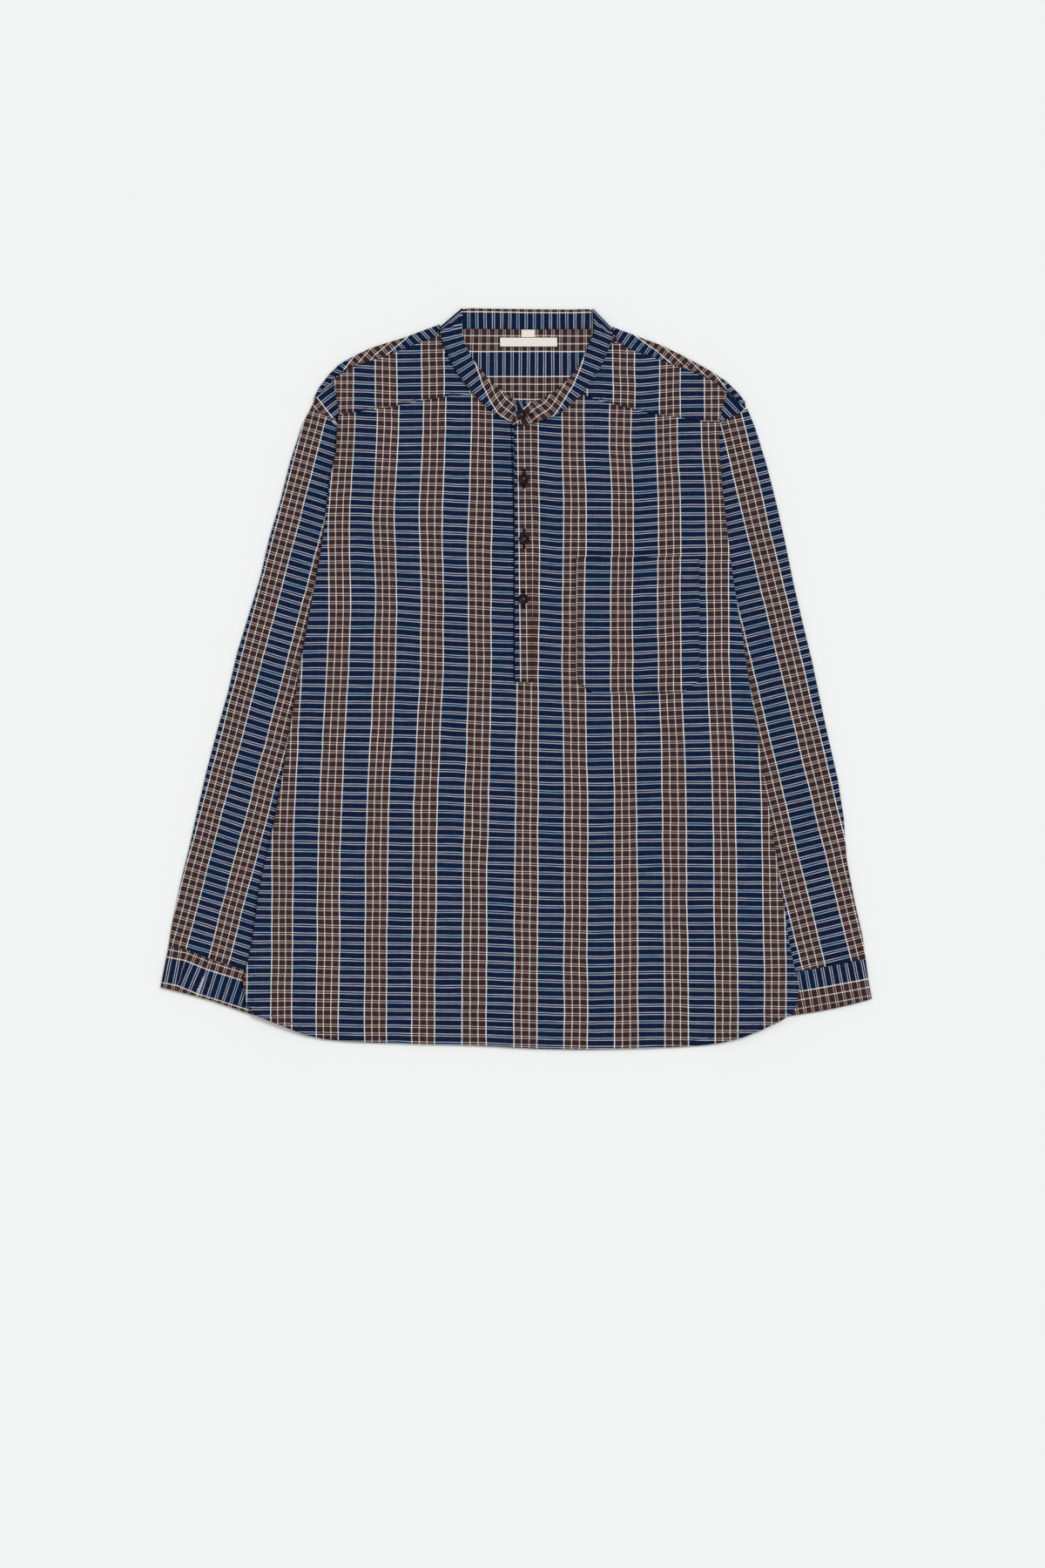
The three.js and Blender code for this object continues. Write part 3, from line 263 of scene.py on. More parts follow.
def outer_skin(node, low=False):
    """The side of a node's wall that holds its highest face, or its lowest, as a bmesh."""
    bm = bmesh.new()
    bm.from_mesh(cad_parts[node].data)
    bmesh.ops.remove_doubles(bm, verts=bm.verts, dist=0.01 * MM)
    bm.normal_update()
    way = -1 if low else 1
    level = [f for f in bm.faces if way * f.normal.z > LEVEL]
    seed = max(level, key=lambda f: way * f.calc_center_median().z)
    kept, front = {seed}, [seed]
    while front:
        face = front.pop()
        for edge in face.edges:
            if len(edge.link_faces) != 2 or face_angle(edge) > SOFT_BEND:
                continue
            for other in edge.link_faces:
                if other not in kept:
                    kept.add(other)
                    front.append(other)
    bmesh.ops.delete(bm, geom=[f for f in bm.faces if f not in kept], context="FACES")
    return bm


def refine(bm, longest):
    """Halves every edge over the longest, in mm, until none is left."""
    while True:
        edges = [e for e in bm.edges if e.calc_length() > longest * MM]
        if not edges:
            return
        bmesh.ops.subdivide_edges(bm, edges=edges, cuts=1)
        many = [f for f in bm.faces if len(f.verts) > 3]
        bmesh.ops.triangulate(bm, faces=many, quad_method="SHORT_EDGE")


def relax(bm):
    """Evens out the heights inside a skin's flat stretches, so that no CAD facet shows."""
    bm.normal_update()
    bm.verts.index_update()
    height = np.array([v.co.z for v in bm.verts])
    free = np.array([
        not v.is_boundary and all(abs(f.normal.z) > RELAX["steep"] for f in v.link_faces) for v in bm.verts
    ])
    pairs = np.array([[v.index for v in e.verts] for e in bm.edges])
    degree = np.bincount(pairs.ravel(), minlength=len(height))
    for _ in range(RELAX["rounds"]):
        total = np.bincount(pairs[:, 0], height[pairs[:, 1]], len(height))
        total += np.bincount(pairs[:, 1], height[pairs[:, 0]], len(height))
        height = np.where(free, 0.5 * height + 0.5 * total / degree, height)
    for vert, z in zip(bm.verts, height):
        vert.co.z = z


# Height and place in the check, from a plan point in mm
def soft(t):
    t = min(max(t, 0.0), 1.0)
    return t * t * (3 - 2 * t)


def crease_height(x, y, creases):
    """Soft ridges and troughs: each fades at both ends and wanders a little off its line."""
    total = 0.0
    for c in creases:
        run_x, run_y = c["x2"] - c["x1"], c["y2"] - c["y1"]
        length = math.hypot(run_x, run_y)
        along = ((x - c["x1"]) * run_x + (y - c["y1"]) * run_y) / length ** 2
        if not 0 < along < 1:
            continue
        off = ((x - c["x1"]) * run_y - (y - c["y1"]) * run_x) / length
        turn = math.sin(CREASE_WANDER["turns"] * along * math.pi + c["x1"])
        off += CREASE_WANDER["share"] * c["width"] * turn
        fade = soft(along / CREASE_FADE["start"]) * soft((1 - along) / CREASE_FADE["end"])
        total += c["height"] * fade * math.exp(-(off / c["width"]) ** 2)
    return total


def swell(x, y, name):
    """Slow uneven rise and fall of laid cloth, in mm."""
    return sum(height * noise.noise(Vector((x / size, y / size, seed)))
               for height, size, seed in SWELLS[name])


def front_relief(x, y):
    """Height of the front's creases, dying out beside the buttons, the collar and the shoulder."""
    calm = 1.0
    if y > CALM["placket_foot"]:
        calm = soft((abs(x - CALM["button_x"]) - CALM["button_reach"]) / CALM["button_fade"])
    neck = math.hypot(x - CALM["neck_x"], y - CALM["neck_y"])
    calm *= soft((neck - CALM["neck_reach"]) / CALM["neck_fade"])
    calm *= soft((CALM["shoulder_y"] - y - CALM["shoulder_slope"] * abs(x)) / CALM["shoulder_fade"])
    return calm * (crease_height(x, y, FRONT_CREASES) + swell(x, y, "front_relief"))


def sleeve_relief(x, y):
    """Height of a sleeve's creases, dying out at its folds and under the body."""
    edge = distance(x, y, SLEEVE_FOLD[side_of(x)])[0]
    rise = crease_height(x, y, SLEEVE_CREASES) + swell(x, y, "sleeve_relief")
    clear = soft((clear_of_body(x, y) - SLEEVE_CALM["body_reach"]) / SLEEVE_CALM["body_fade"])
    return rise * soft(edge / SLEEVE_CALM["fold_fade"]) * clear


def back_relief(x, y):
    return crease_height(x, y, BACK_CREASES) + swell(x, y, "back_relief")


def side_of(x):
    return "left" if x < 0 else "right"


def distance(x, y, points):
    """Distance from a plan point to a line of points, the nearest place on it and the length up to there."""
    best = (math.inf, (0.0, 0.0), 0.0)
    run = 0.0
    for (ax, ay), (bx, by) in zip(points, points[1:]):
        span = math.hypot(bx - ax, by - ay)
        t = min(max(((x - ax) * (bx - ax) + (y - ay) * (by - ay)) / span ** 2, 0.0), 1.0)
        foot = (ax + t * (bx - ax), ay + t * (by - ay))
        gap = math.hypot(x - foot[0], y - foot[1])
        if gap < best[0]:
            best = (gap, foot, run + t * span)
        run += span
    return best


def left_of(x, y, points):
    """Whether a plan point lies left of the line from the first to the last point."""
    (ax, ay), (bx, by) = points[0], points[-1]
    return (bx - ax) * (y - ay) - (by - ay) * (x - ax) > 0


def clear_of_body(x, y):
    """Distance of a sleeve's point from the body's long edge over it."""
    points = BODY_EDGE[side_of(x)]
    edge = float(np.interp(y, [p[1] for p in points], [p[0] for p in points]))
    return edge - x if x < 0 else x - edge


CURVE = {"low": -360.0, "high": 400.0, "step": 5.0, "smooth": 11}


def even_curves(heights, rows):
    """Charted values of each row at even heights, with the kinks between them smoothed out."""
    window = np.ones(CURVE["smooth"]) / CURVE["smooth"]
    half = CURVE["smooth"] // 2
    even_heights = np.arange(CURVE["low"], CURVE["high"] + 1, CURVE["step"])
    curves = []
    for values in rows:
        even = np.interp(even_heights, heights[::-1], values[::-1])
        curves.append(np.convolve(np.pad(even, half, mode="edge"), window, mode="valid"))
    return np.array(curves)


COLUMN_CURVES = even_curves(COLUMN_HEIGHTS, BODY_COLUMNS.values())
COLUMN_NUMBERS = list(BODY_COLUMNS)
ROW_LIFTS = even_curves(ROW_HEIGHTS, ROW_LIFT.values())
ROW_PLACES = list(ROW_LIFT)


def body_check(x, y):
    place = min(max((y - CURVE["low"]) / CURVE["step"], 0.0), COLUMN_CURVES.shape[1] - 1.001)
    below, share = int(place), place % 1
    edges = COLUMN_CURVES[:, below] * (1 - share) + COLUMN_CURVES[:, below + 1] * share
    column = float(np.interp(x + swell(x, y, "columns"), edges, COLUMN_NUMBERS))
    lifts = ROW_LIFTS[:, below] * (1 - share) + ROW_LIFTS[:, below + 1] * share
    rise = float(np.interp(x, ROW_PLACES, lifts)) + swell(x, y, "rows")
    return column, (ROW_TOP - y + rise) / PAIR


def front_check(x, y, face):
    return body_check(x, y)


def pocket_check(x, y, face):
    column, row = body_check(x + POCKET_SHIFT["columns"], y)
    return column, row + POCKET_SHIFT["rows"]


def placket_check(x, y, face):
    line = PLACKET_COLUMN["x"] + PLACKET_COLUMN["lean"] * (PLACKET_COLUMN["top"] - y)
    column = (x - line) / PLACKET_COLUMN["width"] * BROWN
    return column, body_check(max(x, PLACKET_COLUMN["level_from"]), y)[1]


def front_yoke_check(side):
    fold = ARMHOLE_FOLD[side]
    angle = math.radians(fold["grain"])

    def check(x, y, face):
        middle = face.calc_center_median() / MM
        # Beyond the fold, on the side of the sleeve
        if left_of(middle.x, middle.y, fold["points"]) == (side == "right"):
            dx, dy = x - fold["start"][0], y - fold["start"][1]
            off = dy * math.cos(angle) - dx * math.sin(angle)
            run = dx * math.cos(angle) + dy * math.sin(angle)
            way = 1 if side == "left" else -1
            return fold["column"] + way * off / COLUMN, (run + swell(x, y, "wedge_rows")) / PAIR
        column, row = body_check(x + YOKE_SHIFT[side], y)
        return column, row + YOKE_SHIFT["rows"]
    return check


def yoke_check(x, y, face):
    """The back yoke lies crosswise, and its strips before the shoulders run askew to their folds."""
    if face.normal.z > 0:
        side = side_of(x)
        gap, _, run = distance(x, y, SHOULDER_FOLD[side])
        if gap < STRIP_REACH:
            strip = YOKE_STRIPS[side]
            lean = math.radians(strip["lean"])
            along = run - strip["start"] + swell(x, y, "strip_rows")
            return ((along * math.sin(lean) - gap * math.cos(lean)) / COLUMN,
                    (along * math.cos(lean) + gap * math.sin(lean)) / CROSS_PAIR)
    heights = [h for h, _ in reversed(YOKE_ROWS)]
    places = [p for _, p in reversed(YOKE_ROWS)]
    column = float(np.interp(y + swell(x, y, "yoke_columns"), heights, places))
    return column, (x + swell(x, y, "yoke_rows")) / CROSS_PAIR


def sleeve_check(side):
    chart = SLEEVE_COLUMNS[side]
    angle = math.radians(chart["turn"])

    def at(x, y):
        left = chart["x"] - chart["slope"] * (chart["top"] - y)
        return (x - left) / chart["period"]

    def check(x, y, face):
        column = at(x + swell(x, y, "sleeve_columns"), y)
        if face.normal.z <= 0:
            fold = distance(x, y, SLEEVE_FOLD[side])[1]
            column = 2 * at(*fold) - column
        drop = chart["drop"] + chart["top_drop"] * soft((y - SLEEVE_TOP["y"]) / SLEEVE_TOP["fade"])
        down = -x * math.sin(angle) - y * math.cos(angle) - drop
        return column, (down + swell(x, y, "sleeve_rows")) / PAIR
    return check


def cuff_check(side):
    depths = [d for d, _ in CUFF_ROWS[side]]
    places = [p for _, p in CUFF_ROWS[side]]

    def check(x, y, face):
        depth, _, along = distance(x, y, WRIST[side])
        column = float(np.interp(depth + swell(x, y, "cuff_columns"), depths, places))
        return column, (along + swell(x, y, "cuff_rows")) / CROSS_PAIR
    return check


# Meshes
def lay_check(bm, check, by_face=False):
    """Writes the place in the check to the UV map "cloth", by point or, at a turned fold, by face."""
    layer = bm.loops.layers.uv.new("cloth")
    seen = {}
    for face in bm.faces:
        side = face.index if by_face else face.normal.z > 0
        for loop in face.loops:
            key = (loop.vert.index, side)
            if key not in seen:
                spot = loop.vert.co / MM
                seen[key] = check(spot.x, spot.y, face)
            loop[layer].uv = seen[key]


BAKE = {"margin": 0.01, "filled": 0.98, "apart": 1.01, "squat": 1.3}


def lay_bake_map(bm):
    """Flat map for baking: what faces up fills one tile, and what faces down the one beside or over it."""
    layer = bm.loops.layers.uv.new("OFBake")
    left, low = min(v.co.x for v in bm.verts), min(v.co.y for v in bm.verts)
    width, height = max(v.co.x for v in bm.verts) - left, max(v.co.y for v in bm.verts) - low
    two = len({f.normal.z > 0 for f in bm.faces}) == 2
    upright = two and 2 * width > BAKE["squat"] * height and height < width
    span = max(width, 2 * height) if upright else max(2 * width if two else width, height)
    scale = BAKE["filled"] / (span / BAKE["filled"])
    for face in bm.faces:
        under = two and face.normal.z <= 0
        shift_x = width * BAKE["apart"] if under and not upright else 0
        shift_y = height * BAKE["apart"] if under and upright else 0
        for loop in face.loops:
            u, v = loop.vert.co.x - left + shift_x, loop.vert.co.y - low + shift_y
            loop[layer].uv = (BAKE["margin"] + u * scale, BAKE["margin"] + v * scale)


def mark_seams(bm):
    """Writes to "seam" how near each point is to the skin's edge: 1 on it, fading out at SEAM_REACH."""
    layer = bm.verts.layers.float.new("seam")
    rim = [v.co for v in bm.verts if v.is_boundary]
    tree = KDTree(len(rim))
    for i, co in enumerate(rim):
        tree.insert(co, i)
    tree.balance()
    for vert in bm.verts:
        vert[layer] = max(0.0, 1 - tree.find(vert.co)[2] / MM / SEAM_REACH) ** 2


def band_places(bm):
    """Writes the band's length up to each point and the share across it, read off its rows of points."""
    along = bm.verts.layers.float.new("along")
    across = bm.verts.layers.float.new("across")
    ends = []
    for x, y in BAND_ENDS:
        near = [v for v in bm.verts if v.is_boundary and math.dist(v.co.xy / MM, (x, y)) < END_REACH]
        ends.append(min(near, key=lambda v: v.co.z))
    seam, free = ends
    middle = next(v for v in neighbours(seam) if v in neighbours(free))
    row, done, length = [seam, middle, free], set(), 0.0
    while True:
        for vert, share in zip(row, (0.0, 0.5, 1.0)):
            vert[along] = length
            vert[across] = share
            done.add(vert)
        ahead = []
        for vert in row:
            rim = vert is not row[1]
            links = [v for v in neighbours(vert) if v not in done and v not in ahead]
            own = [v for v in links if v.is_boundary == rim] or links
            if not own:
                return
            ahead.append(min(own, key=lambda v: (v.co - vert.co).length))
        length += (ahead[1].co - row[1].co).length / MM
        row = ahead


def neighbours(vert):
    return [e.other_vert(vert) for e in vert.link_edges]


def lay_band_check(bm):
    """The band's check: blue, with brown along the free edge, swinging in towards both ends."""
    along = bm.verts.layers.float["along"]
    across = bm.verts.layers.float["across"]
    layer = bm.loops.layers.uv.new("cloth")
    lengths = [a for a, _ in BAND_BROWN]
    starts = [b for _, b in BAND_BROWN]
    whole = max(v[along] for v in bm.verts)
    for face in bm.faces:
        middle = face.calc_center_median() / MM
        behind = middle.z < BAND_BACK["below"]
        for loop in face.loops:
            length = loop.vert[along]
            x = loop.vert.co.x / MM
            wide = loop.vert[across] * BAND_WIDTH + swell(length, 0, "band_columns")
            start = BAND_BACK["brown"] if behind else float(np.interp(length, lengths, starts))
            slant = soft(1 - length / BAND_SLANT["reach"]) - soft(1 - (whole - length) / BAND_SLANT["reach"])
            run = x if behind else length + BAND_SLANT["lean"] * slant * wide
            row = (run + swell(length, wide, "band_rows")) / PAIR + BAND_START
            loop[layer].uv = ((wide - start) / COLUMN, row)


def grow(bm, reach):
    """Moves a skin's rim outward and a little up, so that sewn edges meet."""
    moves = {}
    for edge in bm.edges:
        if not edge.is_boundary:
            continue
        face = edge.link_faces[0]
        start, end = (v.co for v in edge.verts)
        out = (end - start).cross(face.normal).normalized()
        if out.dot(face.calc_center_median() - start) > 0:
            out.negate()
        for vert in edge.verts:
            moves[vert] = moves.get(vert, Vector()) + out
    for vert, out in moves.items():
        out.normalize()
        step = reach.get("low" if out.y < -0.5 else "high" if out.y > 0.5 else "side", 0.0)
        vert.co += out * step * MM + Vector((0, 0, GROW_LIFT * step * MM))


def pull(bm, tugs):
    """Draws the points about a place sideways, to lay a corner under its neighbour."""
    for vert in bm.verts:
        for tug in tugs:
            gap = math.dist(vert.co.xy / MM, (tug["x"], tug["y"]))
            if gap < tug["reach"]:
                fade = (1 - gap / tug["reach"]) ** 0.5
                vert.co.x += tug["move_x"] * fade * MM
                vert.co.y += tug["move_y"] * fade * MM


def cloth_piece(node, check, relief=None, edge=FINE_EDGE, thick=THICK, low=False, by_face=False):
    """Replaces a cloth node by its refined, creased and checked skin, a thin shell inward of it."""
    bm = outer_skin(node, low)
    if check is None:
        band_places(bm)
    refine(bm, edge)
    relax(bm)
    bm.normal_update()
    if node in SEAM_GROW:
        grow(bm, SEAM_GROW[node])
    pull(bm, TUGS.get(node, []))
    bm.verts.index_update()
    bm.faces.index_update()
    bm.normal_update()
    if check is None:
        lay_band_check(bm)
    else:
        lay_check(bm, check, by_face)
    lay_bake_map(bm)
    mark_seams(bm)
    if relief:
        for vert in bm.verts:
            if low or vert.normal.z > 0.5:
                vert.co.z += relief(vert.co.x / MM, vert.co.y / MM) * MM
    piece = new_object(f"cloth_{node}", bm)
    shell = piece.modifiers.new("thickness", "SOLIDIFY")
    shell.thickness = thick * MM
    shell.offset = -1
    apply_modifiers(piece)
    piece.data.shade_smooth()
    return dress(piece, CLOTH, node)


def new_object(name, bm):
    """An object on the scene with a bmesh's form, which is used up."""
    mesh = bpy.data.meshes.new(name)
    bm.to_mesh(mesh)
    bm.free()
    made = bpy.data.objects.new(name, mesh)
    bpy.context.scene.collection.objects.link(made)
    return made


def apply_modifiers(piece):
    """Turns what a piece's modifiers make of it into its mesh."""
    depsgraph = bpy.context.evaluated_depsgraph_get()
    plain = piece.data
    mesh = bpy.data.meshes.new_from_object(piece.evaluated_get(depsgraph), depsgraph=depsgraph)
    piece.modifiers.clear()
    piece.data = mesh
    bpy.data.meshes.remove(plain)
    mesh.name = piece.name


def dress(piece, material, node=None):
    """Gives a piece its material and sets it on the frame, in a node's place if it has one."""
    piece.data.materials.clear()
    piece.data.materials.append(material)
    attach(piece, "root")
    if node:
        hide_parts(node)
    return piece


# Materials
def linear(red, green, blue):
    """A display colour, 0 to 255, as linear light."""
    return tuple(((c / 255) / 12.92 if c <= 10 else (((c / 255) + 0.055) / 1.055) ** 2.4)
                 for c in (red, green, blue)) + (1.0,)


BLUE_GROUND = linear(8, 24, 54)
BROWN_GROUND = linear(54, 34, 37)
BROWN_THREAD = linear(40, 42, 66)
WHITE_WARP = linear(214, 220, 220)
PALE_WARP = linear(206, 212, 214)
BLUE_PAIR = linear(208, 210, 220)
TEAL_PAIR = linear(166, 196, 216)
TAN_PAIR = linear(206, 184, 166)
CROSSING = linear(250, 250, 246)
# colour of the painted shade beside the placket's fold
SHADE = linear(8, 10, 18)
SEWING = linear(38, 32, 42)


class Graph:
    """A material's nodes in short: values or sockets go in, and a socket comes out."""

    def __init__(self, name):
        self.material = bpy.data.materials.new(name)
        self.material.use_nodes = True
        self.nodes = self.material.node_tree.nodes
        self.links = self.material.node_tree.links
        self.shader = self.nodes["Principled BSDF"]

    def feed(self, socket, value):
        if isinstance(value, bpy.types.NodeSocket):
            self.links.new(value, socket)
        else:
            socket.default_value = value

    def math(self, operation, *values):
        node = self.nodes.new("ShaderNodeMath")
        node.operation = operation
        for socket, value in zip(node.inputs, values):
            self.feed(socket, value)
        return node.outputs[0]

    def times(self, *values):
        return self.math("MULTIPLY", *values)

    def fade(self, value, start, end, low=1.0, high=0.0):
        """From low at start to high at end, smoothly."""
        node = self.nodes.new("ShaderNodeMapRange")
        node.interpolation_type = "SMOOTHSTEP"
        for socket, given in zip(node.inputs, (value, start, end, low, high)):
            self.feed(socket, given)
        return node.outputs[0]

    def mix(self, share, first, second, blend="MIX"):
        node = self.nodes.new("ShaderNodeMix")
        node.data_type = "RGBA"
        node.blend_type = blend
        self.feed(node.inputs[0], share)
        self.feed(node.inputs[6], first)
        self.feed(node.inputs[7], second)
        return node.outputs[2]

    def split(self, vector):
        node = self.nodes.new("ShaderNodeSeparateXYZ")
        self.links.new(vector, node.inputs[0])
        return node.outputs[0], node.outputs[1]

    def noise(self, across, down, detail):
        """Noise on a plane of two values, from 0 to 1."""
        joined = self.nodes.new("ShaderNodeCombineXYZ")
        self.feed(joined.inputs[0], across)
        self.feed(joined.inputs[1], down)
        node = self.nodes.new("ShaderNodeTexNoise")
        node.noise_dimensions = "2D"
        self.links.new(joined.outputs[0], node.inputs["Vector"])
        node.inputs["Scale"].default_value = 1.0
        node.inputs["Detail"].default_value = detail
        return node.outputs[0]

    def clouds(self, scale, detail=2.0):
        """Noise in space, from 0 to 1."""
        node = self.nodes.new("ShaderNodeTexNoise")
        node.inputs["Scale"].default_value = scale
        node.inputs["Detail"].default_value = detail
        self.links.new(self.spot(), node.inputs["Vector"])
        return node.outputs[0]

    def spot(self):
        """Place in the frame, in metres."""
        return self.nodes.new("ShaderNodeTexCoord").outputs["Object"]

    def uv(self, name):
        node = self.nodes.new("ShaderNodeUVMap")
        node.uv_map = name
        return node.outputs[0]

    def attribute(self, name):
        node = self.nodes.new("ShaderNodeAttribute")
        node.attribute_name = name
        return node.outputs["Fac"]

    def bump(self, height, strength, distance):
        node = self.nodes.new("ShaderNodeBump")
        node.inputs["Strength"].default_value = strength
        node.inputs["Distance"].default_value = distance
        self.links.new(height, node.inputs["Height"])
        self.links.new(node.outputs[0], self.shader.inputs["Normal"])

    def finish(self, color, roughness, **settings):
        self.feed(self.shader.inputs["Base Color"], color)
        self.feed(self.shader.inputs["Roughness"], roughness)
        for name, value in settings.items():
            self.shader.inputs[name.replace("_", " ")].default_value = value
        return self.material


# Noises of the yarn: turns for each mm across and along the warp, and detail
YARN = {"warp_slub": (1.1, 0.06, 3.0), "weft_slub": (0.07, 1.3, 3.0), "beads": (0.9, 0.9, 1.0),
        "tint": (0.018, 0.09, 2.0), "pucker": (0.2, 0.2, 1.0)}
WEAVE = 0.5                    # mm from thread to thread
# Lines: half widths, softness of their edges, how uneven they are, and a pair's lines from its middle
LINE = {"white": 0.52, "pale": 0.5, "faint": 0.35, "pair": 0.37, "edge": 0.22, "brown_edge": 0.15,
        "uneven": 0.36, "apart": 1.15}
TONE = {"base": 0.55, "warp_slub": 0.5, "weft_slub": 0.4, "weave": 0.14}
# How strongly threads cover the ground: noise from and to, and the strength there
COVER = {"warp_slub": (0.25, 0.75, 0.62, 0.95), "weft_slub": (0.25, 0.75, 0.66, 0.98),
         "beads": (0.3, 0.7, 0.72, 1.0)}
SHARE = {"faint": 0.55, "pale": 0.72, "crossing": 0.95}
TEAL_FROM, TEAL_TO = 0.66, 0.46
HEIGHT = {"weave": 0.12, "lines": 0.15, "slub": 0.3, "pucker": 2.6}
# The painted shade beside the placket's fold, a dark line from its foot up: where it is, and its lean above
# the bend
FOLD_SHADE = {"x": -2.3, "bend": 157, "lean": 0.026, "full": 0.3, "reach": 1.5, "foot": -2, "foot_fade": 1,
              "top": 268, "top_fade": 3, "depth": 0.85}


def check_masks(g, column, row, beads):
    """Masks of the check: the brown ground, the warp lines, and the pairs of weft lines."""
    uneven_width = g.math("MULTIPLY_ADD", beads, LINE["uneven"], -LINE["uneven"] / 2)

    def near(place, size, centre):
        """Distance in mm to the repeat of a line, for a place given in repeats of that size."""
        turned_in = g.math("FRACT", g.math("ADD", place, 0.5 - centre))
        gap = g.times(g.math("ABSOLUTE", g.math("SUBTRACT", turned_in, 0.5)), size)
        return g.math("ADD", gap, uneven_width)

    def two_lines(place, size, centres, half):
        soft_edge = LINE["edge"]
        return g.math("MAXIMUM", *(g.fade(near(place, size, c), half - soft_edge, half + soft_edge)
                                   for c in centres))

    half, edge = BROWN * COLUMN / 2, LINE["brown_edge"]
    brown_third, blue_third = BROWN / 3, (1 - BROWN) / 3
    apart = LINE["apart"] / PAIR
    return {
        "brown": g.fade(near(column, COLUMN, BROWN / 2), half - edge, half + edge),
        "white": two_lines(column, COLUMN, (0.0, BROWN), LINE["white"]),
        "pale": two_lines(column, COLUMN, (brown_third, 2 * brown_third), LINE["pale"]),
        "faint": two_lines(column, COLUMN, (BROWN + blue_third, BROWN + 2 * blue_third), LINE["faint"]),
        "pair": two_lines(row, PAIR, (0.5 - apart, 0.5 + apart), LINE["pair"]),
    }


def fold_shade(g):
    """Painted shade: where the placket's fold stands off the front, the cloth beside it is darkened as if in
    the fold's shade.
    """
    side, up = (g.times(value, 1 / MM) for value in g.split(g.spot()))
    fold = FOLD_SHADE
    lean = g.times(g.math("MAXIMUM", g.math("SUBTRACT", up, fold["bend"]), 0.0), fold["lean"])
    off = g.math("ABSOLUTE", g.math("SUBTRACT", g.math("ADD", side, lean), fold["x"]))
    shade = g.times(g.fade(off, fold["full"], fold["reach"]),
                    g.fade(up, fold["top"], fold["top"] + fold["top_fade"]))
    return g.times(shade, g.fade(up, fold["foot"] - fold["foot_fade"], fold["foot"], 0.0, fold["depth"]))


def check_color(g, mask, yarn, weave):
    """Ground, warp lines, weft pairs and their crossings, each over the one before, and painted shade beside
    the placket's fold over them all.
    """
    tone = g.math("MULTIPLY_ADD", yarn["weft_slub"], TONE["weft_slub"], TONE["base"])
    tone = g.math("MULTIPLY_ADD", yarn["warp_slub"], TONE["warp_slub"], tone)
    tone = g.math("MULTIPLY_ADD", weave, TONE["weave"], tone)
    ground = g.mix(mask["brown"], BLUE_GROUND, BROWN_GROUND)
    ground = g.mix(g.times(mask["faint"], SHARE["faint"]), ground, BROWN_THREAD)
    color = g.mix(1.0, ground, tone, "MULTIPLY")

    cover = {name: g.fade(yarn[name], *COVER[name]) for name in COVER}
    color = g.mix(g.times(mask["white"], cover["warp_slub"]), color, WHITE_WARP)
    color = g.mix(g.times(mask["pale"], g.times(cover["warp_slub"], SHARE["pale"])), color, PALE_WARP)
    blue = g.mix(g.fade(yarn["tint"], TEAL_FROM, TEAL_TO), BLUE_PAIR, TEAL_PAIR)
    pair_color = g.mix(mask["brown"], blue, TAN_PAIR)
    color = g.mix(g.times(mask["pair"], g.times(cover["weft_slub"], cover["beads"])), color, pair_color)
    crossing = g.times(mask["pair"], g.math("MAXIMUM", mask["white"], mask["pale"]))
    color = g.mix(g.times(crossing, SHARE["crossing"]), color, CROSSING)
    # painted shade beside the placket's fold, over everything else
    return g.mix(fold_shade(g), color, SHADE)


def yarn_dyed():
    """The check in plain weave, its lines a touch proud, with puckers beside the seams."""
    g = Graph("yarn_dyed_check")
    column, row = g.split(g.uv("cloth"))
    across, down = g.times(column, COLUMN), g.times(row, PAIR)
    yarn = {name: g.noise(g.times(across, turns), g.times(down, turns_down), detail)
            for name, (turns, turns_down, detail) in YARN.items()}
    mask = check_masks(g, column, row, yarn["beads"])
    weave = g.times(*(g.math("SINE", g.times(way, math.pi / WEAVE)) for way in (across, down)))

    height = g.times(weave, HEIGHT["weave"])
    height = g.math("MULTIPLY_ADD", g.math("MAXIMUM", mask["pair"], mask["white"]), HEIGHT["lines"], height)
    height = g.math("MULTIPLY_ADD", yarn["warp_slub"], HEIGHT["slub"], height)
    pucker = g.times(yarn["pucker"], g.attribute("seam"))
    height = g.math("MULTIPLY_ADD", pucker, HEIGHT["pucker"], height)
    g.bump(height, strength=0.55, distance=0.35 * MM)
    roughness = g.fade(yarn["weft_slub"], 0.2, 0.8, low=0.82, high=0.95)
    return g.finish(check_color(g, mask, yarn, weave), roughness, Specular_IOR_Level=0.08)


def thread_material(name, color, paler):
    """Twisted thread: two tones along its length and a fine bump."""
    g = Graph(name)
    twist = g.clouds(scale=2200)
    g.bump(twist, strength=0.4, distance=0.1 * MM)
    return g.finish(g.mix(twist, color, paler), 0.8, Specular_IOR_Level=0.05)


def label_material():
    """Woven off-white tape with fine ribs and a faint mottle."""
    g = Graph("label_tape")
    place, down = g.split(g.spot())
    rib = 0.45 * MM
    ribs = g.math("SINE", g.times(down, 2 * math.pi / rib))
    mottle = g.noise(g.times(place, 0.9 / MM), g.times(down, 2.0 / MM), 3.0)
    color = g.mix(mottle, linear(236, 231, 222), linear(222, 215, 203))
    g.bump(g.math("MULTIPLY_ADD", ribs, 0.25, mottle), strength=0.4, distance=0.2 * MM)
    return g.finish(color, 0.75, Specular_IOR_Level=0.3, Sheen_Weight=0.1)


def button_material():
    """Dark plum resin with faint clouds in its colour and its gloss."""
    g = Graph("button_resin")
    clouds = g.clouds(scale=320, detail=4)
    color = g.mix(clouds, linear(17, 9, 14), linear(34, 21, 28))
    g.bump(clouds, strength=0.15, distance=0.1 * MM)
    return g.finish(color, g.fade(clouds, 0.3, 0.7, low=0.3, high=0.45), Specular_IOR_Level=0.12)


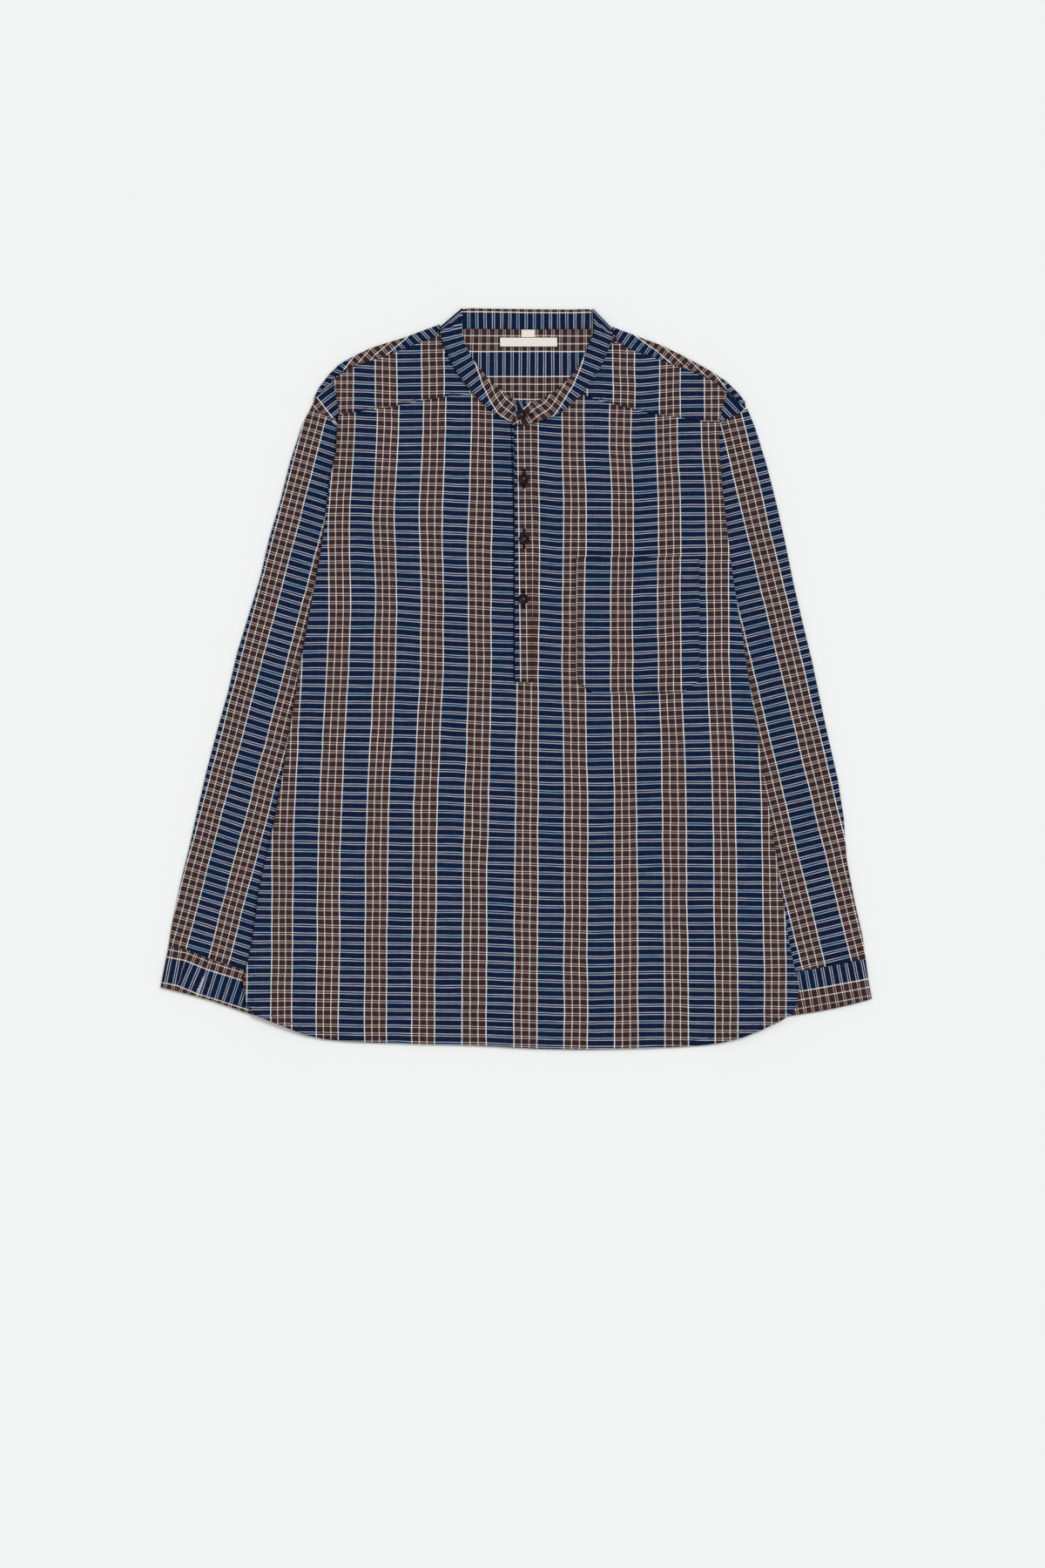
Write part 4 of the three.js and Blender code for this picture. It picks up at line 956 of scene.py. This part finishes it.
CLOTH = yarn_dyed()
THREAD = thread_material("sewing_thread", SEWING, linear(62, 54, 66))
HOLE_THREAD = thread_material("buttonhole_thread", linear(16, 9, 13), linear(34, 22, 28))
BUTTON_THREAD = thread_material("button_thread", linear(84, 68, 68), linear(138, 120, 114))
LABEL = label_material()
RESIN = button_material()

# Cloth pieces
PIECES = {
    "back": cloth_piece("back", front_check, back_relief, edge=BACK_EDGE, low=True),
    "back_yoke": cloth_piece("back_yoke", yoke_check, edge=YOKE_EDGE, thick=YOKE_THICK),
    "front": cloth_piece("front", front_check, front_relief),
    "front_yoke_left": cloth_piece("front_yoke_left", front_yoke_check("left"), front_relief,
                                   edge=SMALL_EDGE, by_face=True),
    "front_yoke_right": cloth_piece("front_yoke_right", front_yoke_check("right"), front_relief,
                                    edge=SMALL_EDGE, by_face=True),
    "sleeve_left": cloth_piece("sleeve_left", sleeve_check("left"), sleeve_relief),
    "sleeve_right": cloth_piece("sleeve_right", sleeve_check("right"), sleeve_relief),
    "cuff_left": cloth_piece("cuff_left", cuff_check("left"), edge=SMALL_EDGE),
    "cuff_right": cloth_piece("cuff_right", cuff_check("right"), edge=SMALL_EDGE),
    "collar_band": cloth_piece("collar_band", None, edge=SMALL_EDGE, thick=BAND_THICK),
    "placket": cloth_piece("placket", placket_check, front_relief, edge=SMALL_EDGE),
    "pocket": cloth_piece("pocket", pocket_check, front_relief, edge=SMALL_EDGE),
}
for name in ("neck_label", "size_label"):
    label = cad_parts[name]
    label.data.materials.clear()
    label.data.materials.append(LABEL)


# Ground that threads lie on: the highest cloth at a plan point
def tree_of(mesh):
    corners = [v.co.copy() for v in mesh.vertices]
    return BVHTree.FromPolygons(corners, [tuple(p.vertices) for p in mesh.polygons])


TREES = [tree_of(piece.data) for piece in PIECES.values()]
ABOVE = 40                     # mm, over all the cloth


def ground(x, y):
    """The highest cloth point at a plan point in mm, and the way that it faces."""
    start = Vector((x * MM, y * MM, ABOVE * MM))
    best = (Vector((x * MM, y * MM, 0)), Vector((0, 0, 1)))
    for tree in TREES:
        spot, normal, _, _ = tree.ray_cast(start, Vector((0, 0, -1)))
        if spot and spot.z > best[0].z:
            best = (spot, normal if normal.z > 0 else -normal)
    return best


# Threads: rings along a stitch by share of its length, with their share of its radius and of its rise
THREAD_RINGS = ((0.0, 0.45, -0.5), (0.2, 0.95, 0.3), (0.5, 1.0, 0.6), (0.8, 0.95, 0.3), (1.0, 0.45, -0.5))
THREAD_FLAT = 0.8              # its thickness to its width
STITCH = {"length": 2.1, "pitch": 2.9, "half": 0.26, "rise": 0.22, "lift": 0.08}


def add_thread(bm, start, end, half, rise, sides=6):
    """A short thread between two points, thickest in its middle, its ends dipping into the cloth."""
    axis = (end - start).normalized()
    side = axis.cross(Vector((0, 0, 1))).normalized()
    lift = side.cross(axis).normalized()
    rings = []
    for share, size, sink in THREAD_RINGS:
        centre = start.lerp(end, share) + lift * rise * sink
        rings.append([
            bm.verts.new(centre + (side * math.cos(a) + lift * math.sin(a) * THREAD_FLAT) * half * size)
            for a in angles(sides)
        ])
    for ring, ahead in zip(rings, rings[1:]):
        for k in range(sides):
            bm.faces.new((ring[k], ring[(k + 1) % sides], ahead[(k + 1) % sides], ahead[k]))
    bm.faces.new(rings[0][::-1])
    bm.faces.new(rings[-1])


def angles(steps):
    return [2 * math.pi * k / steps for k in range(steps)]


def thread_piece(name, bm, material):
    bmesh.ops.recalc_face_normals(bm, faces=bm.faces)
    piece = new_object(name, bm)
    piece.data.shade_smooth()
    return dress(piece, material)


def place_on(points, run):
    """The plan point that lies a run in mm along a line of points."""
    for (ax, ay), (bx, by) in zip(points, points[1:]):
        span = math.hypot(bx - ax, by - ay)
        if run <= span:
            return ax + (bx - ax) * run / span, ay + (by - ay) * run / span
        run -= span
    return points[-1]


def thread_over(bm, places, lift, half, rise, sides=6):
    """A thread between two plan points in mm, lying on the cloth under them."""
    ends = [spot + normal * lift * MM for spot, normal in (ground(*place) for place in places)]
    add_thread(bm, *ends, half * MM, rise * MM, sides)


def stitch_run(bm, points):
    """Running topstitches along a line of plan points in mm, on the cloth under them."""
    whole = sum(math.dist(a, b) for a, b in zip(points, points[1:]))
    run = 0.0
    while run + STITCH["length"] <= whole:
        places = place_on(points, run), place_on(points, run + STITCH["length"])
        thread_over(bm, places, STITCH["lift"], STITCH["half"], STITCH["rise"])
        run += STITCH["pitch"]


def beside(points, gap):
    """A line of plan points moved to its left by a gap in mm, or to its right where the gap is below zero."""
    moved = []
    for k, (x, y) in enumerate(points):
        (ax, ay), (bx, by) = points[max(k - 1, 0)], points[min(k + 1, len(points) - 1)]
        span = math.hypot(bx - ax, by - ay)
        moved.append((x - gap * (by - ay) / span, y + gap * (bx - ax) / span))
    return moved


HEM_LINE = [
    (-288.2, -344.2), (-278.6, -359.1), (-266.5, -363.7), (-243.3, -373), (-218.1, -382.3), (-185.6, -387),
    (-114, -389.8), (-45.1, -391.6), (31.2, -395.3), (72.1, -395.8), (110.2, -395.3), (155.8, -394),
    (196.7, -391.6), (228.4, -387), (255.3, -377.7), (276.7, -368.4), (291.6, -359.1), (298.9, -350.7),
]
YOKE_SEAM = {
    "left": [(-188.4, 282.8), (-168.8, 285.6), (-146.5, 288.4), (-109.3, 295.8), (-74, 302), (-56, 304.2)],
    "right": [(86, 298.6), (102.8, 294), (125.1, 288.4), (149.3, 281.9), (172.6, 279.1), (197.7, 274.4),
              (216.7, 273.5)],
}
BAND_SEAM = {
    "left": [(-7, 275.5), (-20, 280.9), (-33, 292.6), (-47, 306.1), (-55.4, 316.8), (-64.3, 329),
             (-74.9, 350.7), (-80.5, 367.4)],
    "right": [(103.6, 364.4), (96.7, 347.9), (89.8, 332.1), (82.3, 319), (73, 306), (61.9, 295.7),
              (49.3, 285.2), (39.5, 279.9), (27.4, 275.8), (12.6, 272.3)],
}
# How far topstitches run from an edge or a seam
SEAM_GAP = {"hem": 6.5, "seam": 1.7, "cuff_top": 2, "cuff_foot": 38}
STITCH_LINES = {
    "placket_stitches": [
        [(16.6, 270), (16.9, 120), (16.6, -1.2), (0.4, -1.2), (0.6, 6)],
        [(16.5, 5.6), (0.6, 5.6)],
    ],
    "pocket_stitches": [
        [(65.6, 128.6), (65.4, -2.6), (82, -13.4), (177.8, -13.4), (194, -2.4), (193.8, 128.6)],
    ],
    "hem_stitches": [beside(HEM_LINE, SEAM_GAP["hem"])],
    "yoke_stitches": [beside(YOKE_SEAM[side], SEAM_GAP["seam"]) for side in YOKE_SEAM],
    "band_stitches": [beside(BAND_SEAM[side], -SEAM_GAP["seam"]) for side in BAND_SEAM],
    "cuff_stitches": [beside(WRIST[side], way * SEAM_GAP[end])
                      for end in ("cuff_top", "cuff_foot") for side, way in (("left", -1), ("right", 1))],
    "shoulder_stitches": [beside(SHOULDER_FOLD["left"][2:-1], 9.2),
                          beside(SHOULDER_FOLD["right"][2:-1], -8.4)],
}


def stitches():
    for name, runs in STITCH_LINES.items():
        bm = bmesh.new()
        for points in runs:
            stitch_run(bm, points)
        thread_piece(name, bm, THREAD)


BUTTON_SPOTS = {"button_collar": (5.6, 281.7), "button_1": (8.2, 213.3), "button_2": (8.5, 149.1),
                "button_3": (7.6, 85)}
# Buttonholes: their lengths, how far their middle lies from the button's, and their satin stitches
HOLE = {"length": 18.5, "shift": 0.3, "collar_length": 15, "collar_shift": 4.2}
SATIN = {"pitch": 0.52, "slit": 0.15, "reach": 1.7, "lift": 0.12, "half": 0.3, "sides": 5}
BAR = {"threads": 3, "gap": 0.1, "pitch": 0.4, "reach": 1.8, "lift": 0.2}


def buttonhole(bm, x, y, length, upright):
    """Satin stitches down both sides of a slit, with a bar across each end."""
    def across(along, ends, lift):
        places = [(x + end, y + along) if upright else (x + along, y + end) for end in ends]
        thread_over(bm, places, lift, SATIN["half"], SATIN["half"], SATIN["sides"])

    steps = int(length / SATIN["pitch"])
    for k in range(steps):
        for side in (-1, 1):
            along = -length / 2 + length * (k + 0.5) / steps
            across(along, (SATIN["slit"] * side, SATIN["reach"] * side), SATIN["lift"])
    for end in (-1, 1):
        for k in range(BAR["threads"]):
            along = end * (length / 2 + BAR["gap"] + BAR["pitch"] * k)
            across(along, (-BAR["reach"], BAR["reach"]), BAR["lift"])


def buttonholes():
    bm = bmesh.new()
    for name, (x, y) in BUTTON_SPOTS.items():
        if name == "button_collar":
            buttonhole(bm, x + HOLE["collar_shift"], y, HOLE["collar_length"], upright=False)
        else:
            buttonhole(bm, x, y + HOLE["shift"], HOLE["length"], upright=True)
    thread_piece("buttonholes", bm, HOLE_THREAD)


# Buttons: a dished face with a rim and four holes, sewn with two bars of thread
# From the middle of the face round to the middle of the back: share of the radius, share of the thickness
BUTTON_RINGS = [
    (0.0, 0.62), (0.16, 0.62), (0.34, 0.62), (0.52, 0.66), (0.62, 0.8), (0.72, 0.95), (0.83, 1.0),
    (0.93, 0.93), (0.99, 0.75), (1.0, 0.5), (0.96, 0.2), (0.86, 0.0), (0.5, 0.0), (0.0, 0.0),
]
BUTTON = {"around": 40, "sharp": 42, "hole_spread": 1.45, "hole_radius": 0.72, "hole_sides": 16}
BUTTON_TIE = {"apart": 0.18, "sink": 0.2, "half": 0.22, "rise": 0.7}


def button_body(centre, radius, thick):
    """The turned form of a button, before its holes."""
    bm = bmesh.new()
    rings = []
    for share, height in BUTTON_RINGS:
        spots = [Vector((math.cos(a) * radius * share, math.sin(a) * radius * share, height * thick))
                 for a in angles(BUTTON["around"] if share else 1)]
        rings.append([bm.verts.new(centre + spot) for spot in spots])
    for ring, ahead in zip(rings, rings[1:]):
        for k in range(BUTTON["around"]):
            a, b = ring[k % len(ring)], ring[(k + 1) % len(ring)]
            c, d = ahead[(k + 1) % len(ahead)], ahead[k % len(ahead)]
            bm.faces.new(list(dict.fromkeys((a, b, c, d))))
    bmesh.ops.recalc_face_normals(bm, faces=bm.faces)
    return bm


def button_bits(centre, thick):
    """The four rods that cut its holes."""
    drill = bmesh.new()
    radius, spread = BUTTON["hole_radius"] * MM, BUTTON["hole_spread"] * MM
    for sx, sy in ((1, 1), (-1, 1), (-1, -1), (1, -1)):
        made = bmesh.ops.create_cone(drill, cap_ends=True, segments=BUTTON["hole_sides"], radius1=radius,
                                     radius2=radius, depth=thick * 3)
        spot = centre + Vector((sx * spread, sy * spread, thick / 2))
        bmesh.ops.translate(drill, verts=made["verts"], vec=spot)
    return new_object("button_bits", drill)


def button_piece(node):
    low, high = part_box(node)
    radius, thick = (high.x - low.x) / 2, high.z - low.z
    centre = Vector(((low.x + high.x) / 2, (low.y + high.y) / 2, low.z))
    piece = new_object(f"sewn_{node}", button_body(centre, radius, thick))
    bits = button_bits(centre, thick)
    cut = piece.modifiers.new("holes", "BOOLEAN")
    cut.object = bits
    cut.operation = "DIFFERENCE"
    cut.solver = "EXACT"
    apply_modifiers(piece)
    bpy.data.objects.remove(bits)
    piece.data.shade_smooth()
    piece.data.set_sharp_from_angle(angle=math.radians(BUTTON["sharp"]))
    dress(piece, RESIN, node)


def button_threads():
    """Two crossed bars, each of two threads, from hole to hole."""
    bm = bmesh.new()
    reach = BUTTON["hole_spread"] * MM
    for node in BUTTON_SPOTS:
        low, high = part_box(node)
        face = low.z + BUTTON_RINGS[0][1] * (high.z - low.z) - BUTTON_TIE["sink"] * MM
        middle = Vector(((low.x + high.x) / 2, (low.y + high.y) / 2, face))
        for way in (1, -1):
            for shift in (-BUTTON_TIE["apart"] * MM, BUTTON_TIE["apart"] * MM):
                start = middle + Vector((-reach + shift, -way * reach, 0))
                end = middle + Vector((reach + shift, way * reach, 0))
                add_thread(bm, start, end, BUTTON_TIE["half"] * MM, BUTTON_TIE["rise"] * MM)
    thread_piece("button_threads", bm, BUTTON_THREAD)


stitches()
buttonholes()
for node in BUTTON_SPOTS:
    button_piece(node)
button_threads()

# Cuts: piece, the flat width and length in mm of what shows of it, the share of that rectangle that it
# fills, and what it rests on
CUTS = [
    ("back", 591, 657, 0.83, ["cloth_sleeve_left", "cloth_sleeve_right"]),
    ("back_yoke", 470, 136, 0.73, []),
    ("front", 594, 700, 0.81, ["cloth_back"]),
    ("front_yoke_left", 175, 90, 0.5, ["cloth_back_yoke"]),
    ("front_yoke_right", 176, 86, 0.52, ["cloth_back_yoke"]),
    ("sleeve_left", 256, 620, 0.886, []),
    ("sleeve_right", 256, 620, 0.897, []),
    ("cuff_left", 236, 45, 0.95, []),
    ("cuff_right", 232, 45, 1.0, []),
    ("collar_band", 440, 22, 1.0, ["cloth_back_yoke", "cloth_front"]),
    ("placket", 19.4, 273.3, 1.0, ["cloth_front"]),
    ("pocket", 131.3, 144.7, 0.99, ["cloth_front"]),
]
for name, width, length, share, rests_on in CUTS:
    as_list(rests_on)


FLOOR = {"side": 14.0, "below": 0.3}


# Stage
def stage():
    """Plain pale floor, a little under the shirt."""
    mesh = bpy.data.meshes.new("floor")
    side = FLOOR["side"]
    corners = [(-side, -side, 0), (side, -side, 0), (side, side, 0), (-side, side, 0)]
    mesh.from_pydata(corners, [], [(0, 1, 2, 3)])
    floor = bpy.data.objects.new("floor", mesh)
    floor.location.z = -FLOOR["below"] * MM
    bpy.context.scene.collection.objects.link(floor)
    g = Graph("pale_floor")
    mottle = g.nodes.new("ShaderNodeTexNoise")
    mottle.inputs["Scale"].default_value = 3
    color = g.mix(mottle.outputs[0], linear(238, 241, 240), linear(240, 242, 241))
    mesh.materials.append(g.finish(color, 0.9, Specular_IOR_Level=0.1))


LIGHT = {"sky": 0.62, "sun": 1.72, "sun_spread": 24, "from": (1.3, 1.1, 1.9)}


def lights():
    """An even white room and one soft light from the upper right, which together leave the floor pale."""
    world = bpy.data.worlds.new("studio")
    world.use_nodes = True
    world.node_tree.nodes["Background"].inputs["Color"].default_value = (1, 1, 1, 1)
    world.node_tree.nodes["Background"].inputs["Strength"].default_value = LIGHT["sky"]
    bpy.context.scene.world = world
    data = bpy.data.lights.new("key", "SUN")
    data.energy = LIGHT["sun"]
    data.angle = math.radians(LIGHT["sun_spread"])
    light = bpy.data.objects.new("key", data)
    light.location = LIGHT["from"]
    light.rotation_euler = (-light.location).to_track_quat("-Z", "Y").to_euler()
    bpy.context.scene.collection.objects.link(light)


# The photograph in pixels: its size, and where the frame's origin lies in it
PHOTO = {"width": 1200, "height": 1800, "origin_x": 592.5, "origin_y": 779}
CAMERA = {"height": 4.0, "sensor": 36, "nudge": 0.3}


def camera():
    """Straight above, as far as the photograph shows."""
    data = bpy.data.cameras.new("camera")
    data.sensor_width = CAMERA["sensor"]
    data.lens = CAMERA["sensor"] * CAMERA["height"] / (PHOTO["height"] * PIXEL * MM)
    view = bpy.data.objects.new("camera", data)
    view.location = ((PHOTO["width"] / 2 - PHOTO["origin_x"]) * PIXEL * MM - CAMERA["nudge"] * MM,
                     (PHOTO["origin_y"] - PHOTO["height"] / 2) * PIXEL * MM + CAMERA["nudge"] * MM,
                     CAMERA["height"])
    bpy.context.scene.collection.objects.link(view)
    bpy.context.scene.camera = view


stage()
lights()
camera()
bpy.context.scene.view_settings.view_transform = "Standard"
